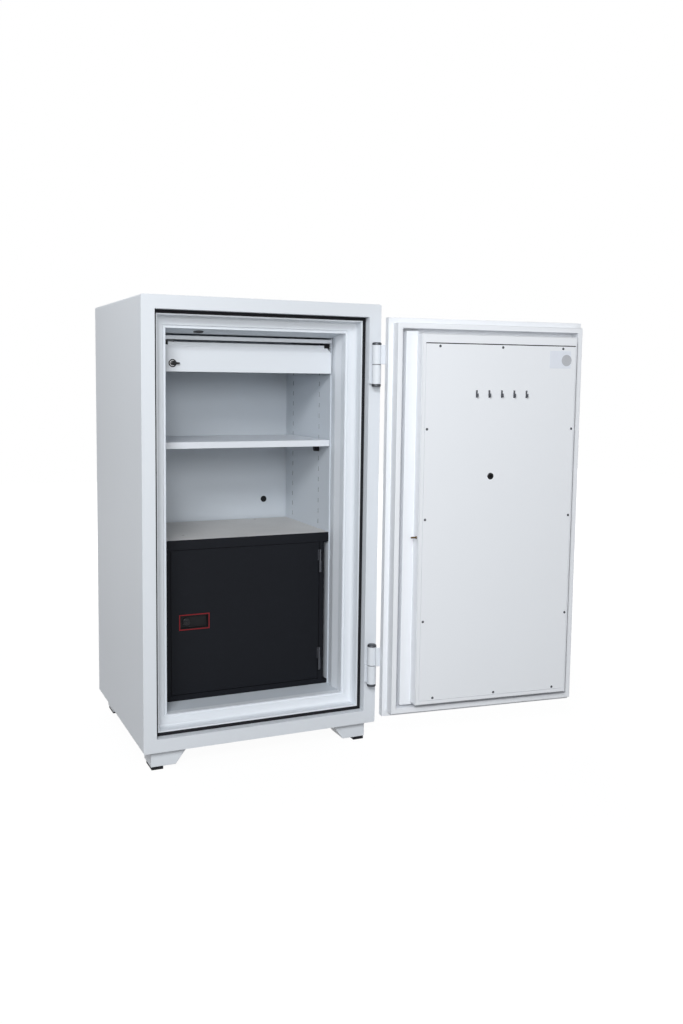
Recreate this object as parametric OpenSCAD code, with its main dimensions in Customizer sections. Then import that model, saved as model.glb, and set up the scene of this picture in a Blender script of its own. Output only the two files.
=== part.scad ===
// Fireproof safe with its door open: body, fittings, inner cabinet, door and bolt work.
// Positions are written from the body's left front lower corner: x to the right, y to the back, z up.
// Door pieces are written for the shut door and then swung open about the hinge axis.

/* [Body] */
// Width of the body
body_w = 680; // [660:1:720]
// Depth of the body from front face to back
body_d = 590; // [570:1:640]
// Height of the body without its feet
body_h = 1200; // [1190:1:1300]
// Height of the feet, pads included
foot_h = 54; // [48:1:70]
// Thickness of the outer sheet
casing_t = 3; // [2:0.5:3]
// Radius of the casing's long edges
casing_r = 5; // [4:0.5:8]

/* [Feet] */
// Distance of the feet from the body's sides
foot_inset = 24; // [15:1:40]
// Distance of the feet from the body's front and back
foot_front = 20; // [10:1:40]
// Width of a foot at the top, and how much its inner end slants in
foot_len = 102; // [90:1:140]
foot_slant = 34; // [20:1:36]
// Depth of a foot
foot_depth = 75; // [70:1:110]
// Thickness of the foot's folded sheet
foot_sheet = 4; // [3:0.5:5]
// Thickness, width and length of a rubber pad
pad_t = 9; // [6:1:12]
pad_w = 32; // [28:1:44]
pad_len = 60; // [50:1:66]
// Radius of the floor bolt holes
bolt_hole_r = 5.5; // [4:0.5:7]

/* [Front opening] */
// Width of the flat border round the opening
face_border = 36; // [36:1:40]
// Depth of the rebate that holds the door slab
rebate_d = 26; // [25.5:0.5:28]
// Width of the heat seal strip
seal_w = 9; // [6:0.5:10]
// Width of the flat edge inside the seal
edge_w = 4; // [3:0.5:5]
// Depth at which the second step faces forward
step_d = 64; // [62:1:70]
// Width of the rounded lip round the inside
lip_w = 8; // [6:0.5:9]
// Distance from the outside to the clear inside, on all four sides
wall_inset = 80; // [80:1:90]
// Radius of the cove in the jamb
cove_r = 9; // [5:0.5:12]
// Thickness of the jamb sheet
jamb_t = 2; // [1.5:0.5:2]

/* [Inside] */
// Depth at which the liner's back wall stands
liner_d = 510; // [505:1:520]
// Thickness of the liner sheet
liner_t = 1.5; // [1:0.1:1.5]
// Thickness of the slotted rack panels
rack_t = 3; // [2:0.5:3]
// Depth of the rack panels' front edge
rack_front = 158; // [150:1:170]
// Depth of the front slot column, and distance of the rear one from the liner's back wall
slot_front = 240; // [220:1:260]
slot_rear_gap = 64; // [60:1:90]
// Distance from one slot to the next
slot_pitch = 32; // [24:1:40]
// Height of the lowest slot's middle
slot_low = 113; // [100:1:130]
// Least distance from the highest slot to the ceiling
slot_top_gap = 40; // [30:1:80]
// Width and height of one slot
slot_w = 5; // [4:0.5:6]
slot_h = 14; // [12:1:16]
// Drop of the sloped ceiling in front of the drawer
soffit_drop = 10.5; // [6:0.5:11]
// Place and radius of the ceiling plug
ceiling_plug_x = 185.7; // [160:0.1:260]
ceiling_plug_r = 14; // [10:1:18]
// Distance of the back plug from the right side, its height and its radius
back_plug_right = 158.5; // [130:0.5:200]
back_plug_z = 601; // [575:1:700]
back_plug_r = 10; // [8:1:14]

/* [Shelf] */
// Slot, counted from the lowest, that the shelf clips hang in
shelf_slot = 21; // [16:1:24]
// Depth of the shelf's front edge
shelf_front = 156; // [150:1:160]
// Space behind the shelf
shelf_rear_gap = 54; // [40:1:58]
// Height of the shelf's folded edge
shelf_t = 18; // [15:1:25]
// Thickness of the shelf sheet
shelf_sheet = 1.2; // [1:0.1:1.6]

/* [Drawer] */
// Height of the drawer front
drawer_h = 80.5; // [76:0.5:86]
// Distance of the drawer's lower edge below the clear ceiling
drawer_drop = 113; // [110:1:116]
// Depth of the drawer front's face
drawer_front_y = 150; // [148:1:154]
// Space between the drawer front and a rack panel
drawer_side_gap = 2; // [2:0.5:7]
// Height of the drawer unit's top plate
top_plate_h = 10.5; // [9:0.5:12]
// Gap between the drawer front and the top plate
drawer_gap = 6.5; // [4:0.5:7]
// Space behind the drawer box
drawer_rear_gap = 60; // [50:1:70]
// Place of the drawer lock across the body
drawer_lock_x = 122; // [118:1:140]

/* [Inner cabinet] */
// Depth of the cabinet's front
cab_front = 160; // [158:1:170]
// Space behind the cabinet
cab_rear_gap = 20; // [14:1:50]
// Thickness of the base plate
cab_base_t = 12; // [10:1:16]
// Height of the top plate's edge
cab_top_t = 28; // [20:1:30]
// Height of the cabinet shell
cab_h = 420; // [400:1:425]
// Width of the frame strip on the lock side
cab_strip_l = 21; // [19:1:24]
// Width of the frame strip on the hinge side
cab_strip_r = 15; // [14:1:20]
// Space between the shell and a rack panel
cab_side_gap = 13; // [11:1:17]
// Thickness of the cabinet door
cab_door_t = 18; // [18:1:22]

/* [Hinges and door] */
// Angle that the door stands open
door_open = 173.7; // [165:0.1:176]
// Hinge axis, inset from the right side and in front of the face
hinge_inset = 23; // [22:0.5:24]
hinge_out = 20; // [19:0.5:22]
// Radius of the hinge knuckles
knuckle_r = 13; // [11:0.5:13]
// Length of one knuckle
knuckle_len = 54; // [45:1:60]
// Place at which the upper knuckles meet, from the top, and the lower ones, from the bottom
upper_joint_drop = 167; // [140:1:200]
lower_joint_z = 176.7; // [160:0.1:220]
// Thickness of the outer part of the door
slab_t = 24; // [24:0.5:25]
// Height of the raised rib above the door's outer face
rib_d = 60; // [58:1:61]
// Depth of the door with its plug
plug_d = 85; // [85:1:90]
// Radius of a lock bolt
bolt_r = 10; // [8:0.5:10]
// Height of the brass guide pin
guide_pin_z = 557.5; // [500:0.5:700]
// How far the bolts travel
bolt_throw = 24; // [20:1:24]
// Turn of the handle from open to locked
handle_turn = 60; // [50:1:60]
// Radius of the dial
dial_r = 40; // [34:1:42]

/* [Hidden] */
$fn = 48;
fit = 0.2;
run = 0.05;
over = 1;

// Levels inside the body
in_l = wall_inset;
in_r = body_w - wall_inset;
floor_z = wall_inset;
ceiling_z = body_h - wall_inset;
seal_end = face_border + seal_w;
edge_end = seal_end + edge_w;
seal_gap = 0.5;
seal_front = slab_t + seal_gap;
seal_t = 4;
seal_floor = seal_front + seal_t;
lip_start = wall_inset - lip_w;
jamb_back = step_d + 22;
rack_l = in_l + rack_t;
rack_r = in_r - rack_t;
slot_rear = liner_d - slot_rear_gap;
slot_count = floor((ceiling_z - slot_top_gap - slot_low) / slot_pitch) + 1;
back_plug_x = body_w - back_plug_right;
soffit_y0 = jamb_back + 2;
soffit_y1 = drawer_front_y - 2;
soffit_slope = atan(soffit_drop / (soffit_y1 - soffit_y0));
plug_hole = 18;

// Lock bolts, at the middle of the rib
bolt_y = (slab_t + rib_d) / 2 + 1;
bolt_zs = [body_h * 0.21, body_h * 0.4, body_h * 0.6, body_h * 0.79];
pocket_r = bolt_r + 1;
pocket_wall = 1.3;

// Shelf
clip_z = slot_low + slot_pitch * shelf_slot;
clip_h = 20;
clip_len = 18;
shelf_z = clip_z + 10;
shelf_gap = 2;
shelf_back = liner_d - shelf_rear_gap;

// Drawer
drawer_z = ceiling_z - drawer_drop;
drawer_l = rack_l + drawer_side_gap;
drawer_r = rack_r - drawer_side_gap;
drawer_top = drawer_z + drawer_h;
plate_z = drawer_top + drawer_gap;
drawer_sheet = 1.2;
front_t = 3;
box_inset = 15;
box_y = drawer_front_y + front_t + 6;
box_back = liner_d - drawer_rear_gap;
housing_back = box_back + 30;
slide_z = drawer_z + 33;
slide_h = 12;
drawer_lock_z = drawer_z + 22.5;
barrel_r = 9.5;
cam_y = drawer_front_y + 22;

// Cabinet
cab_l = rack_l + cab_side_gap;
cab_r = rack_r - cab_side_gap;
cab_z = floor_z + cab_base_t;
cab_top_z = cab_z + cab_h;
cab_sheet = 1.5;
cab_back = liner_d - cab_rear_gap;
cab_gap = 1.5;
cab_edge = 4;
cab_door_l = cab_l + cab_strip_l + cab_gap;
cab_door_r = cab_r - cab_strip_r - cab_gap;
cab_door_z0 = cab_z + cab_edge + cab_gap;
cab_door_z1 = cab_top_z - cab_gap;
cab_knuckle_r = 3.5;
cab_knuckle_len = 34;
cab_axis_x = cab_r - cab_strip_r + 1;
cab_axis_y = cab_front - cab_knuckle_r;
cab_joints = [cab_z + 67, cab_top_z - 57];
cab_pin_r = 1.8;
bezel_w = 89;
bezel_h = 45;
bezel_x = cab_door_l + 22.5;
bezel_z = cab_z + 190;
bezel_t = 4;
cup_d = 8;
knob_x = bezel_x + 23;
knob_z = bezel_z + bezel_h / 2;
knob_r = 11;
cab_bolt_y = cab_front + cup_d + 3;
cab_bolt_h = 12;
cab_bolt_throw = 12;
top_hole_r = 3;
top_holes = [[rack_l + 93, cab_front + 81], [rack_r - 115, cab_back - 9]];

// Door
hinge_x = body_w - hinge_inset;
hinge_y = -hinge_out;
pin_r = 6;
washer_t = 1.6;
leaf_t = 7;
joints = [body_h - upper_joint_drop, lower_joint_z];
slab_l = face_border + 3;
slab_r = body_w - face_border - 4;
slab_z0 = face_border + 2.5;
slab_z1 = body_h - slab_z0;
pan_t = 2;
rib_inset = 54;
rib_w = 15;
plug_l = 86;
plug_r = body_w - 115;
plug_z0 = 82;
plug_z1 = body_h - plug_z0;
step2_r = plug_r + 32;
step2_d = 50;
step2_z0 = plug_z0 - 7;
step2_z1 = body_h - step2_z0;
panel_l = plug_l + 5;
panel_r = plug_r - 12;
panel_z0 = plug_z0 + 12;
panel_z1 = plug_z1 - 27;
panel_gap = 0.8;
ledge_w = 14;
screw_r = 3.6;
shank_r = 1.9;
screw_inset = 6.5;
screw_rows = [for (share = [0.2277, 0.5155, 0.7663]) panel_z0 + share * (panel_z1 - panel_z0)];
screw_cols = [panel_l + 41, (panel_l + panel_r) / 2, panel_r - 41];
hook_z = panel_z1 - 136;
hook_pitch = 38.6;
hook_x = (panel_l + panel_r) / 2;
fill_d = 30;
lock_x = body_w / 2 + 10;
key_z = body_h / 2;
handle_z = key_z - 100;
dial_z = key_z + 100;
access_z = dial_z + 25.7;
spindle_r = 8;
dial_shaft_r = 4;
key_body_r = 14;
key_plug_r = 8;
case_size = 90;
case_y0 = 36;
case_y1 = 76;
rod_y0 = 34;
rod_y1 = 40;
crank = bolt_throw / (2 * sin(handle_turn / 2));
crank_x = bolt_throw / 2;
crank_z = crank * cos(handle_turn / 2);
crank_pin_r = 4;
guide_len = 12;
bar_x0 = plug_l + pan_t + guide_len + bolt_throw + 1;
bar_x1 = bar_x0 + 6;
tenon_r = 6;
lever_len = 115;

// Colours
white = "whitesmoke";
shade = "gainsboro";
steel = "silver";
dark = "dimgray";
black = "black";
charcoal = "#202226";
brass = "goldenrod";

// Placing
module on_body() translate([-body_w / 2, -body_d / 2, foot_h]) children();
module on_door() on_body() translate([hinge_x, hinge_y, 0]) rotate([0, 0, door_open])
    translate([-hinge_x, -hinge_y, 0]) children();

// Plain shapes between two corners, and rods along each axis
module block(x0, x1, y0, y1, z0, z1) translate([x0, y0, z0]) cube([x1 - x0, y1 - y0, z1 - z0]);
module rect(x0, x1, y0, y1) translate([x0, y0]) square([x1 - x0, y1 - y0]);
module rod_x(r, x0, x1, y, z) translate([x0, y, z]) rotate([0, 90, 0]) cylinder(r = r, h = x1 - x0);
module rod_y(r, y0, y1, x, z) translate([x, y1, z]) rotate([90, 0, 0]) cylinder(r = r, h = y1 - y0);
module rod_z(r, z0, z1, x, y) translate([x, y, z0]) cylinder(r = r, h = z1 - z0);

// Rectangle with round corners, and a block whose edges along y are round
module round_rect(w, h, r) {
    rect(r, w - r, 0, h);
    rect(0, w, r, h - r);
    for (x = [r, w - r], y = [r, h - r]) translate([x, y]) circle(r);
}
module round_block(x0, x1, y0, y1, z0, z1, r)
    translate([x0, y1, z0]) rotate([90, 0, 0]) linear_extrude(y1 - y0) round_rect(x1 - x0, z1 - z0, r);

// Square-cornered ring round the front, between two insets and two depths
module ring(n0, n1, d0, d1) difference() {
    block(n0, body_w - n0, d0, d1, n0, body_h - n0);
    block(n1, body_w - n1, d0 - over, d1 + over, n1, body_h - n1);
}

// Sweeps a section (inset, depth) round the front with mitred corners
module mitre(points, depth)
    translate([0, depth, 0]) rotate([90, 0, 0]) linear_extrude(depth + over) polygon(points);
module swept_frame(depth) {
    half = body_w / 2;
    for (flip = [0, 1]) {
        translate([flip * body_w, 0, 0]) mirror([flip, 0, 0]) intersection() {
            linear_extrude(body_h) children();
            mitre([[0, 0], [half, half], [half, body_h - half], [0, body_h]], depth);
        }
        translate([0, 0, flip * body_h]) mirror([0, 0, flip]) intersection() {
            mirror([1, 0, -1]) linear_extrude(body_w) children();
            mitre([[0, 0], [body_w, 0], [half, half]], depth);
        }
    }
}

// Body pieces
module outer_casing() color(white) on_body() {
    difference() {
        round_block(0, body_w, 0, body_d, 0, body_h, casing_r);
        round_block(casing_t, body_w - casing_t, casing_t, body_d + over, casing_t, body_h - casing_t,
            casing_r - casing_t);
        block(face_border, body_w - face_border, -over, casing_t + over, face_border, body_h - face_border);
    }
    ring(face_border - casing_t, face_border, casing_t, seal_floor + jamb_t);
}

module back_plate() color(white) on_body()
    round_block(casing_t, body_w - casing_t, body_d - casing_t, body_d, casing_t, body_h - casing_t,
        casing_r - casing_t);

module jamb_section() {
    wall_n = edge_end - jamb_t;
    rect(face_border, seal_end + jamb_t, seal_floor, seal_floor + jamb_t);
    rect(seal_end, edge_end, rebate_d, seal_floor + jamb_t);
    rect(wall_n, edge_end, rebate_d, step_d + jamb_t);
    rect(wall_n, lip_start, step_d, step_d + jamb_t);
    rect(wall_inset - jamb_t, wall_inset, step_d, jamb_back);
    translate([wall_inset - lip_w / 2, step_d]) circle(lip_w / 2);
    rect(lip_start, wall_inset, step_d, step_d + jamb_t);
    difference() {
        rect(edge_end, edge_end + cove_r, step_d - cove_r, step_d);
        translate([edge_end + cove_r, step_d - cove_r]) circle(cove_r);
    }
}

module jamb_frame() color(white) on_body() difference() {
    swept_frame(jamb_back + over) jamb_section();
    for (z = bolt_zs) rod_x(pocket_r, face_border, edge_end + over, bolt_y, z);
}

module heat_seal() color(black) on_body() ring(face_border + fit, seal_end - fit, seal_front, seal_floor);

module insulation_section() {
    rect(casing_t, face_border - casing_t, casing_t, body_d - casing_t);
    rect(casing_t, edge_end - jamb_t, seal_floor + jamb_t, body_d - casing_t);
    rect(casing_t, wall_inset - jamb_t, step_d + jamb_t, body_d - casing_t);
}

module insulation_walls() {
    swept_frame(body_d) insulation_section();
    block(wall_inset - jamb_t, body_w - wall_inset + jamb_t, liner_d + liner_t, body_d - casing_t,
        wall_inset - jamb_t, body_h - wall_inset + jamb_t);
}
module body_insulation() color("lightgray") on_body() difference() {
    intersection() {
        round_block(casing_t, body_w - casing_t, casing_t, body_d - casing_t, casing_t, body_h - casing_t,
            casing_r - casing_t);
        insulation_walls();
    }
    ring(wall_inset - lip_w, wall_inset, step_d, step_d + lip_w / 2 + fit);
    for (z = bolt_zs) rod_x(pocket_r + pocket_wall, face_border / 2, wall_inset, bolt_y, z);
    on_soffit() cylinder(r = ceiling_plug_r - 3, h = plug_hole);
    rod_y(back_plug_r - 2, liner_d, liner_d + 12, back_plug_x, back_plug_z);
}

// Shallow upright fold in the liner's side wall, in plan
module side_fold() translate([0, 0, floor_z]) linear_extrude(ceiling_z - floor_z)
    polygon([[in_r, jamb_back + 2], [in_r - 5, (jamb_back + rack_front) / 2], [in_r, rack_front - 3]]);

// Wedge that slopes from the jamb down to the drawer's plate, and the place of the plug in its middle
module soffit() translate([in_l, 0, 0]) rotate([90, 0, 90]) linear_extrude(in_r - in_l)
    polygon([[soffit_y0, ceiling_z], [soffit_y1, ceiling_z - soffit_drop],
        [soffit_y1, ceiling_z + liner_t / 2], [soffit_y0, ceiling_z + liner_t / 2]]);
module on_soffit()
    translate([ceiling_plug_x, (soffit_y0 + soffit_y1) / 2, ceiling_z - soffit_drop / 2])
        rotate([-soffit_slope, 0, 0]) children();

module inner_liner() color(shade) on_body() {
    difference() {
        union() {
            ring(wall_inset - liner_t, wall_inset, jamb_back, liner_d);
            block(in_l - liner_t, in_r + liner_t, liner_d, liner_d + liner_t, in_l - liner_t,
                  ceiling_z + liner_t);
            soffit();
        }
        on_soffit() translate([0, 0, -over]) cylinder(r = ceiling_plug_r - 3, h = plug_hole);
        rod_y(back_plug_r - 2, liner_d - over, liner_d + 12, back_plug_x, back_plug_z);
    }
    side_fold();
    translate([body_w, 0, 0]) mirror([1, 0, 0]) side_fold();
}

module rack_panel() difference() {
    block(rack_r, in_r, rack_front, liner_d - 8, floor_z, ceiling_z);
    for (y = [slot_front, slot_rear], i = [0 : slot_count - 1])
        translate([rack_r - over, y - slot_w / 2, slot_low + slot_pitch * i - slot_h / 2])
            cube([rack_t + 2 * over, slot_w, slot_h]);
}
module right_rack_panel() color(shade) on_body() rack_panel();
module left_rack_panel() color(shade) on_body() translate([body_w, 0, 0]) mirror([1, 0, 0]) rack_panel();

module ceiling_plug() color(black) on_body() {
    on_soffit() translate([0, 0, -2]) cylinder(r = ceiling_plug_r, h = 2);
    on_soffit() translate([0, 0, -over]) cylinder(r = ceiling_plug_r - 3 - fit, h = plug_hole - 2);
}
module back_plug() color(black) on_body() {
    rod_y(back_plug_r, liner_d - 2, liner_d, back_plug_x, back_plug_z);
    rod_y(back_plug_r - 2 - fit, liner_d - over, liner_d + 10, back_plug_x, back_plug_z);
}

// Feet
module at_each_corner() for (fx = [0, 1], fy = [0, 1])
    translate([fx * body_w, fy * body_d, 0]) mirror([fx, 0, 0]) mirror([0, fy, 0]) children();

module foot_brackets() color(white) on_body() at_each_corner() difference() {
    union() {
        translate([foot_inset, foot_front + foot_sheet, pad_t - foot_h]) rotate([90, 0, 0])
            linear_extrude(foot_sheet) polygon([[0, 0], [foot_len - foot_slant, 0],
                [foot_len, foot_h - pad_t], [0, foot_h - pad_t]]);
        block(foot_inset, foot_inset + foot_sheet, foot_front, foot_front + foot_depth, pad_t - foot_h, 0);
        block(foot_inset, foot_inset + foot_len - foot_slant, foot_front, foot_front + foot_depth,
            pad_t - foot_h, pad_t - foot_h + foot_sheet);
        block(foot_inset, foot_inset + foot_len, foot_front, foot_front + foot_depth, -foot_sheet, 0);
    }
    rod_z(bolt_hole_r, -foot_h, pad_t - foot_h + foot_sheet + over, foot_inset + 2 + pad_w / 2,
          foot_front + 40);
}

module rubber_feet() color(black) on_body() at_each_corner() difference() {
    block(foot_inset + 2, foot_inset + 2 + pad_w, foot_front + 1, foot_front + 1 + pad_len,
          -foot_h, pad_t - foot_h);
    rod_z(bolt_hole_r, -foot_h - over, pad_t - foot_h + over, foot_inset + 2 + pad_w / 2, foot_front + 40);
}

// Main hinges: the body's knuckle stands below the joint and the door's above it
module body_hinge_leaves() color(white) on_body() for (z = joints) difference() {
    union() {
        rod_z(knuckle_r, z - knuckle_len, z - washer_t / 2, hinge_x, hinge_y);
        block(slab_r + 5, body_w - 5, -leaf_t, 0, z - knuckle_len, z - washer_t / 2);
        block(hinge_x - 7, hinge_x + 7, hinge_y, -leaf_t, z - knuckle_len, z - washer_t / 2);
    }
    rod_z(pin_r + run, z - knuckle_len - over, z + over, hinge_x, hinge_y);
}
module hinge_pins() color(dark) on_body() for (z = joints) {
    rod_z(pin_r, z - knuckle_len - 6, z + knuckle_len + 1, hinge_x, hinge_y);
    rod_z(knuckle_r, z + knuckle_len + fit, z + knuckle_len + 5, hinge_x, hinge_y);
    translate([hinge_x, hinge_y, z + knuckle_len + 5]) cylinder(r1 = knuckle_r, r2 = knuckle_r - 3, h = 2.5);
}
module hinge_end_caps() color(dark) on_body() for (z = joints) difference() {
    rod_z(knuckle_r, z - knuckle_len - 8, z - knuckle_len, hinge_x, hinge_y);
    rod_z(pin_r + run, z - knuckle_len - 6, z - knuckle_len + over, hinge_x, hinge_y);
}
module hinge_washers() color(dark) on_body() for (z = joints) difference() {
    rod_z(knuckle_r - 1, z - washer_t / 2, z + washer_t / 2 - fit, hinge_x, hinge_y);
    rod_z(pin_r + run, z - washer_t, z + washer_t, hinge_x, hinge_y);
}
module strike_pockets() color(steel) on_body() for (z = bolt_zs) difference() {
    rod_x(pocket_r + pocket_wall, face_border / 2, edge_end - jamb_t, bolt_y, z);
    rod_x(pocket_r, face_border / 2 + 2, edge_end, bolt_y, z);
}

// Shelf and its clips
module adjustable_shelf() color(white) on_body() difference() {
    block(rack_l + shelf_gap, rack_r - shelf_gap, shelf_front, shelf_back, shelf_z, shelf_z + shelf_t);
    block(rack_l + shelf_gap + shelf_sheet, rack_r - shelf_gap - shelf_sheet, shelf_front + shelf_sheet,
        shelf_back - shelf_sheet, shelf_z - over, shelf_z + shelf_t - shelf_sheet);
}
module shelf_clips() color(black) on_body() for (y = [slot_front, slot_rear], side = [0, 1])
    translate([side * body_w, 0, 0]) mirror([side, 0, 0]) {
        translate([rack_l, y + 6, shelf_z]) rotate([90, 0, 0]) linear_extrude(12)
            polygon([[0, 0], [clip_len, 0], [clip_len / 2, -clip_h], [0, -clip_h]]);
        block(in_l + fit, rack_l, y - slot_w / 2 + fit, y + slot_w / 2 - fit, clip_z - 5, clip_z + 5);
    }

// Drawer unit
module drawer_housing() color(white) on_body() {
    difference() {
        block(rack_l, rack_r, drawer_front_y, housing_back, plate_z, plate_z + top_plate_h);
        block(rack_l + liner_t, rack_r - liner_t, drawer_front_y + liner_t, housing_back - liner_t,
            plate_z - over, plate_z + top_plate_h - liner_t);
    }
    for (x = [rack_l, rack_r - liner_t])
        block(x, x + liner_t, drawer_front_y + 12, housing_back, slide_z - 10, plate_z);
    block(drawer_lock_x - 10, drawer_lock_x + 10, cam_y - 3.5, cam_y - 1.5, drawer_lock_z + 25,
        plate_z + top_plate_h - liner_t);
}

// One fixed rail at the left: a channel open towards the drawer
module fixed_rail() {
    x0 = rack_l + liner_t;
    difference() {
        block(x0, drawer_l + box_inset - 3, box_y + 6, housing_back - 6, slide_z - slide_h / 2 - 2,
              slide_z + slide_h / 2 + 2);
        block(x0 + 2, drawer_l + box_inset, box_y, housing_back, slide_z - slide_h / 2,
              slide_z + slide_h / 2);
    }
}
module drawer_runners() color(steel) on_body() {
    fixed_rail();
    translate([body_w, 0, 0]) mirror([1, 0, 0]) fixed_rail();
}
module drawer_slides() color(steel) on_body() for (side = [0, 1])
    translate([side * body_w, 0, 0]) mirror([side, 0, 0])
        block(rack_l + liner_t + 2.5, drawer_l + box_inset, box_y + 8, box_back, slide_z - slide_h / 2 + 0.4,
            slide_z + slide_h / 2 - 0.4);

// Front with a grip lip: the face steps back along a bevel to a narrower upper lip
module drawer_front() color(white) on_body() difference() {
    union() {
        translate([drawer_l, 0, 0]) mirror([1, 0, -1]) linear_extrude(drawer_r - drawer_l) polygon([
            [drawer_z, drawer_front_y], [drawer_top - 23.5, drawer_front_y],
            [drawer_top - 10.5, drawer_front_y + 7],
            [drawer_top - 10.5, drawer_front_y + 10], [drawer_top - 23.5, drawer_front_y + front_t],
            [drawer_z, drawer_front_y + front_t]]);
        block(drawer_l, drawer_r, drawer_front_y + 7, drawer_front_y + 8.5, drawer_top - 10.5, drawer_top);
        block(drawer_l, drawer_r, drawer_front_y, box_y, drawer_z, drawer_z + drawer_sheet);
    }
    for (side = [0, 1]) translate([side * body_w, 0, 0]) mirror([side, 0, 0])
        translate([drawer_l, drawer_front_y + 30, drawer_top]) rotate([90, 0, 0]) linear_extrude(60)
            polygon([[-over, over], [20, over], [20, -8], [9, -8], [0, -23.5], [-over, -23.5]]);
    rod_y(barrel_r + fit, drawer_front_y - over, box_y, drawer_lock_x, drawer_lock_z);
}
module drawer_box() color(shade) on_body() {
    x0 = drawer_l + box_inset;
    x1 = drawer_r - box_inset;
    difference() {
        block(x0, x1, box_y, box_back, drawer_z + drawer_sheet, drawer_top - 14);
        block(x0 + drawer_sheet, x1 - drawer_sheet, box_y + drawer_sheet, box_back - drawer_sheet,
            drawer_z + 2 * drawer_sheet, drawer_top);
        rod_y(barrel_r + fit, box_y - over, box_y + 3, drawer_lock_x, drawer_lock_z);
    }
    block(x0 + 20, x1 - 20, drawer_front_y + front_t, box_y, drawer_z + drawer_sheet, drawer_z + 8);
}
module drawer_lock_barrel() color("silver") on_body() difference() {
    union() {
        rod_y(barrel_r, drawer_front_y, cam_y - 1, drawer_lock_x, drawer_lock_z);
        rod_y(barrel_r + 1.5, drawer_front_y - 2, drawer_front_y, drawer_lock_x, drawer_lock_z);
    }
    rod_y(6 + run, drawer_front_y - 4, cam_y, drawer_lock_x, drawer_lock_z);
}
// Key with its plug: the bow lies level when the drawer is unlocked
module drawer_key() color(black) on_body() translate([drawer_lock_x, drawer_front_y, drawer_lock_z]) {
    rod_y(6, -2, 21, 0, 0);
    block(-1, 1, -8, -2, -3, 3);
    difference() {
        translate([0, -7, 0]) hull() {
            rod_y(6, -2, 0, 0, 0);
            rod_y(4.5, -2, 0, 22, 0);
        }
        rod_y(2, -12, 0, 21, 0);
    }
}
module drawer_lock_cam() color(steel) on_body()
    translate([drawer_lock_x, cam_y, drawer_lock_z]) difference() {
    block(-6, 32, -0.5, 1.5, -6, 6);
    rod_y(3, -1, 2, 0, 0);
}

// Inner cabinet
module cabinet_base() color(charcoal) on_body()
    block(rack_l, rack_r, cab_front, cab_back, floor_z, cab_z);

module cabinet_shell() color(charcoal) on_body() difference() {
    block(cab_l, cab_r, cab_front + cab_sheet, cab_back, cab_z, cab_top_z);
    block(cab_l + cab_sheet, cab_r - cab_sheet, cab_front, cab_back - cab_sheet,
        cab_z + cab_sheet, cab_top_z - cab_sheet);
    block(cab_l + cab_strip_l, cab_r - cab_strip_r, cab_front, cab_front + 2 * cab_sheet,
        cab_z + cab_edge, cab_top_z + over);
    block(cab_l + cab_strip_l, cab_r - cab_strip_r, cab_front, cab_front + cab_door_t + 4,
        cab_z + cab_edge, cab_top_z - cab_sheet / 2);
}
module cabinet_front_frame() color(charcoal) on_body() difference() {
    block(cab_l, cab_r, cab_front, cab_front + cab_sheet, cab_z, cab_top_z);
    block(cab_l + cab_strip_l, cab_r - cab_strip_r, cab_front - over, cab_front + 2 * cab_sheet,
        cab_z + cab_edge, cab_top_z + over);
}
module cabinet_top() color(dark) on_body() difference() {
    block(rack_l, rack_r, cab_front - 2, cab_back + 10, cab_top_z, cab_top_z + cab_top_t);
    block(rack_l + 2, rack_r - 2, cab_front, cab_back + 8, cab_top_z - over, cab_top_z + cab_top_t - 2);
    for (p = top_holes) rod_z(top_hole_r, cab_top_z, cab_top_z + cab_top_t + over, p[0], p[1]);
}
module cabinet_frame_knuckles() color(steel) on_body() for (z = cab_joints) difference() {
    union() {
        rod_z(cab_knuckle_r, z - cab_knuckle_len, z - 0.3, cab_axis_x, cab_axis_y);
        block(cab_axis_x, cab_axis_x + 6, cab_front - 1.5, cab_front, z - cab_knuckle_len, z - 0.3);
    }
    rod_z(cab_pin_r + run, z - cab_knuckle_len - over, z + over, cab_axis_x, cab_axis_y);
}
module cabinet_hinge_pins() color(steel) on_body() for (z = cab_joints)
    rod_z(cab_pin_r, z - cab_knuckle_len, z + cab_knuckle_len, cab_axis_x, cab_axis_y);

module cabinet_door_knuckles() color(steel) on_body() for (z = cab_joints) difference() {
    union() {
        rod_z(cab_knuckle_r, z + 0.3, z + cab_knuckle_len, cab_axis_x, cab_axis_y);
        block(cab_door_r - 4, cab_axis_x, cab_front - 1.5, cab_front, z + 0.3, z + cab_knuckle_len);
    }
    rod_z(cab_pin_r + run, z - over, z + cab_knuckle_len + over, cab_axis_x, cab_axis_y);
}
module cabinet_door() color(charcoal) on_body() difference() {
    block(cab_door_l, cab_door_r, cab_front, cab_front + cab_door_t - cab_sheet, cab_door_z0, cab_door_z1);
    block(cab_door_l + cab_sheet, cab_door_r - cab_sheet, cab_front + cab_sheet, cab_front + cab_door_t,
        cab_door_z0 + cab_sheet, cab_door_z1 - cab_sheet);
    block(bezel_x + bezel_t, bezel_x + bezel_w - bezel_t, cab_front - over, cab_front + 3,
        bezel_z + bezel_t, bezel_z + bezel_h - bezel_t);
    block(cab_door_l - over, cab_door_l + 3, cab_bolt_y - fit, cab_bolt_y + 5 + fit,
        knob_z - cab_bolt_h / 2 - fit, knob_z + cab_bolt_h / 2 + fit);
}
module cabinet_door_lining() color(charcoal) on_body()
    block(cab_door_l, cab_door_r, cab_front + cab_door_t - cab_sheet, cab_front + cab_door_t,
          cab_door_z0, cab_door_z1);

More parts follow.
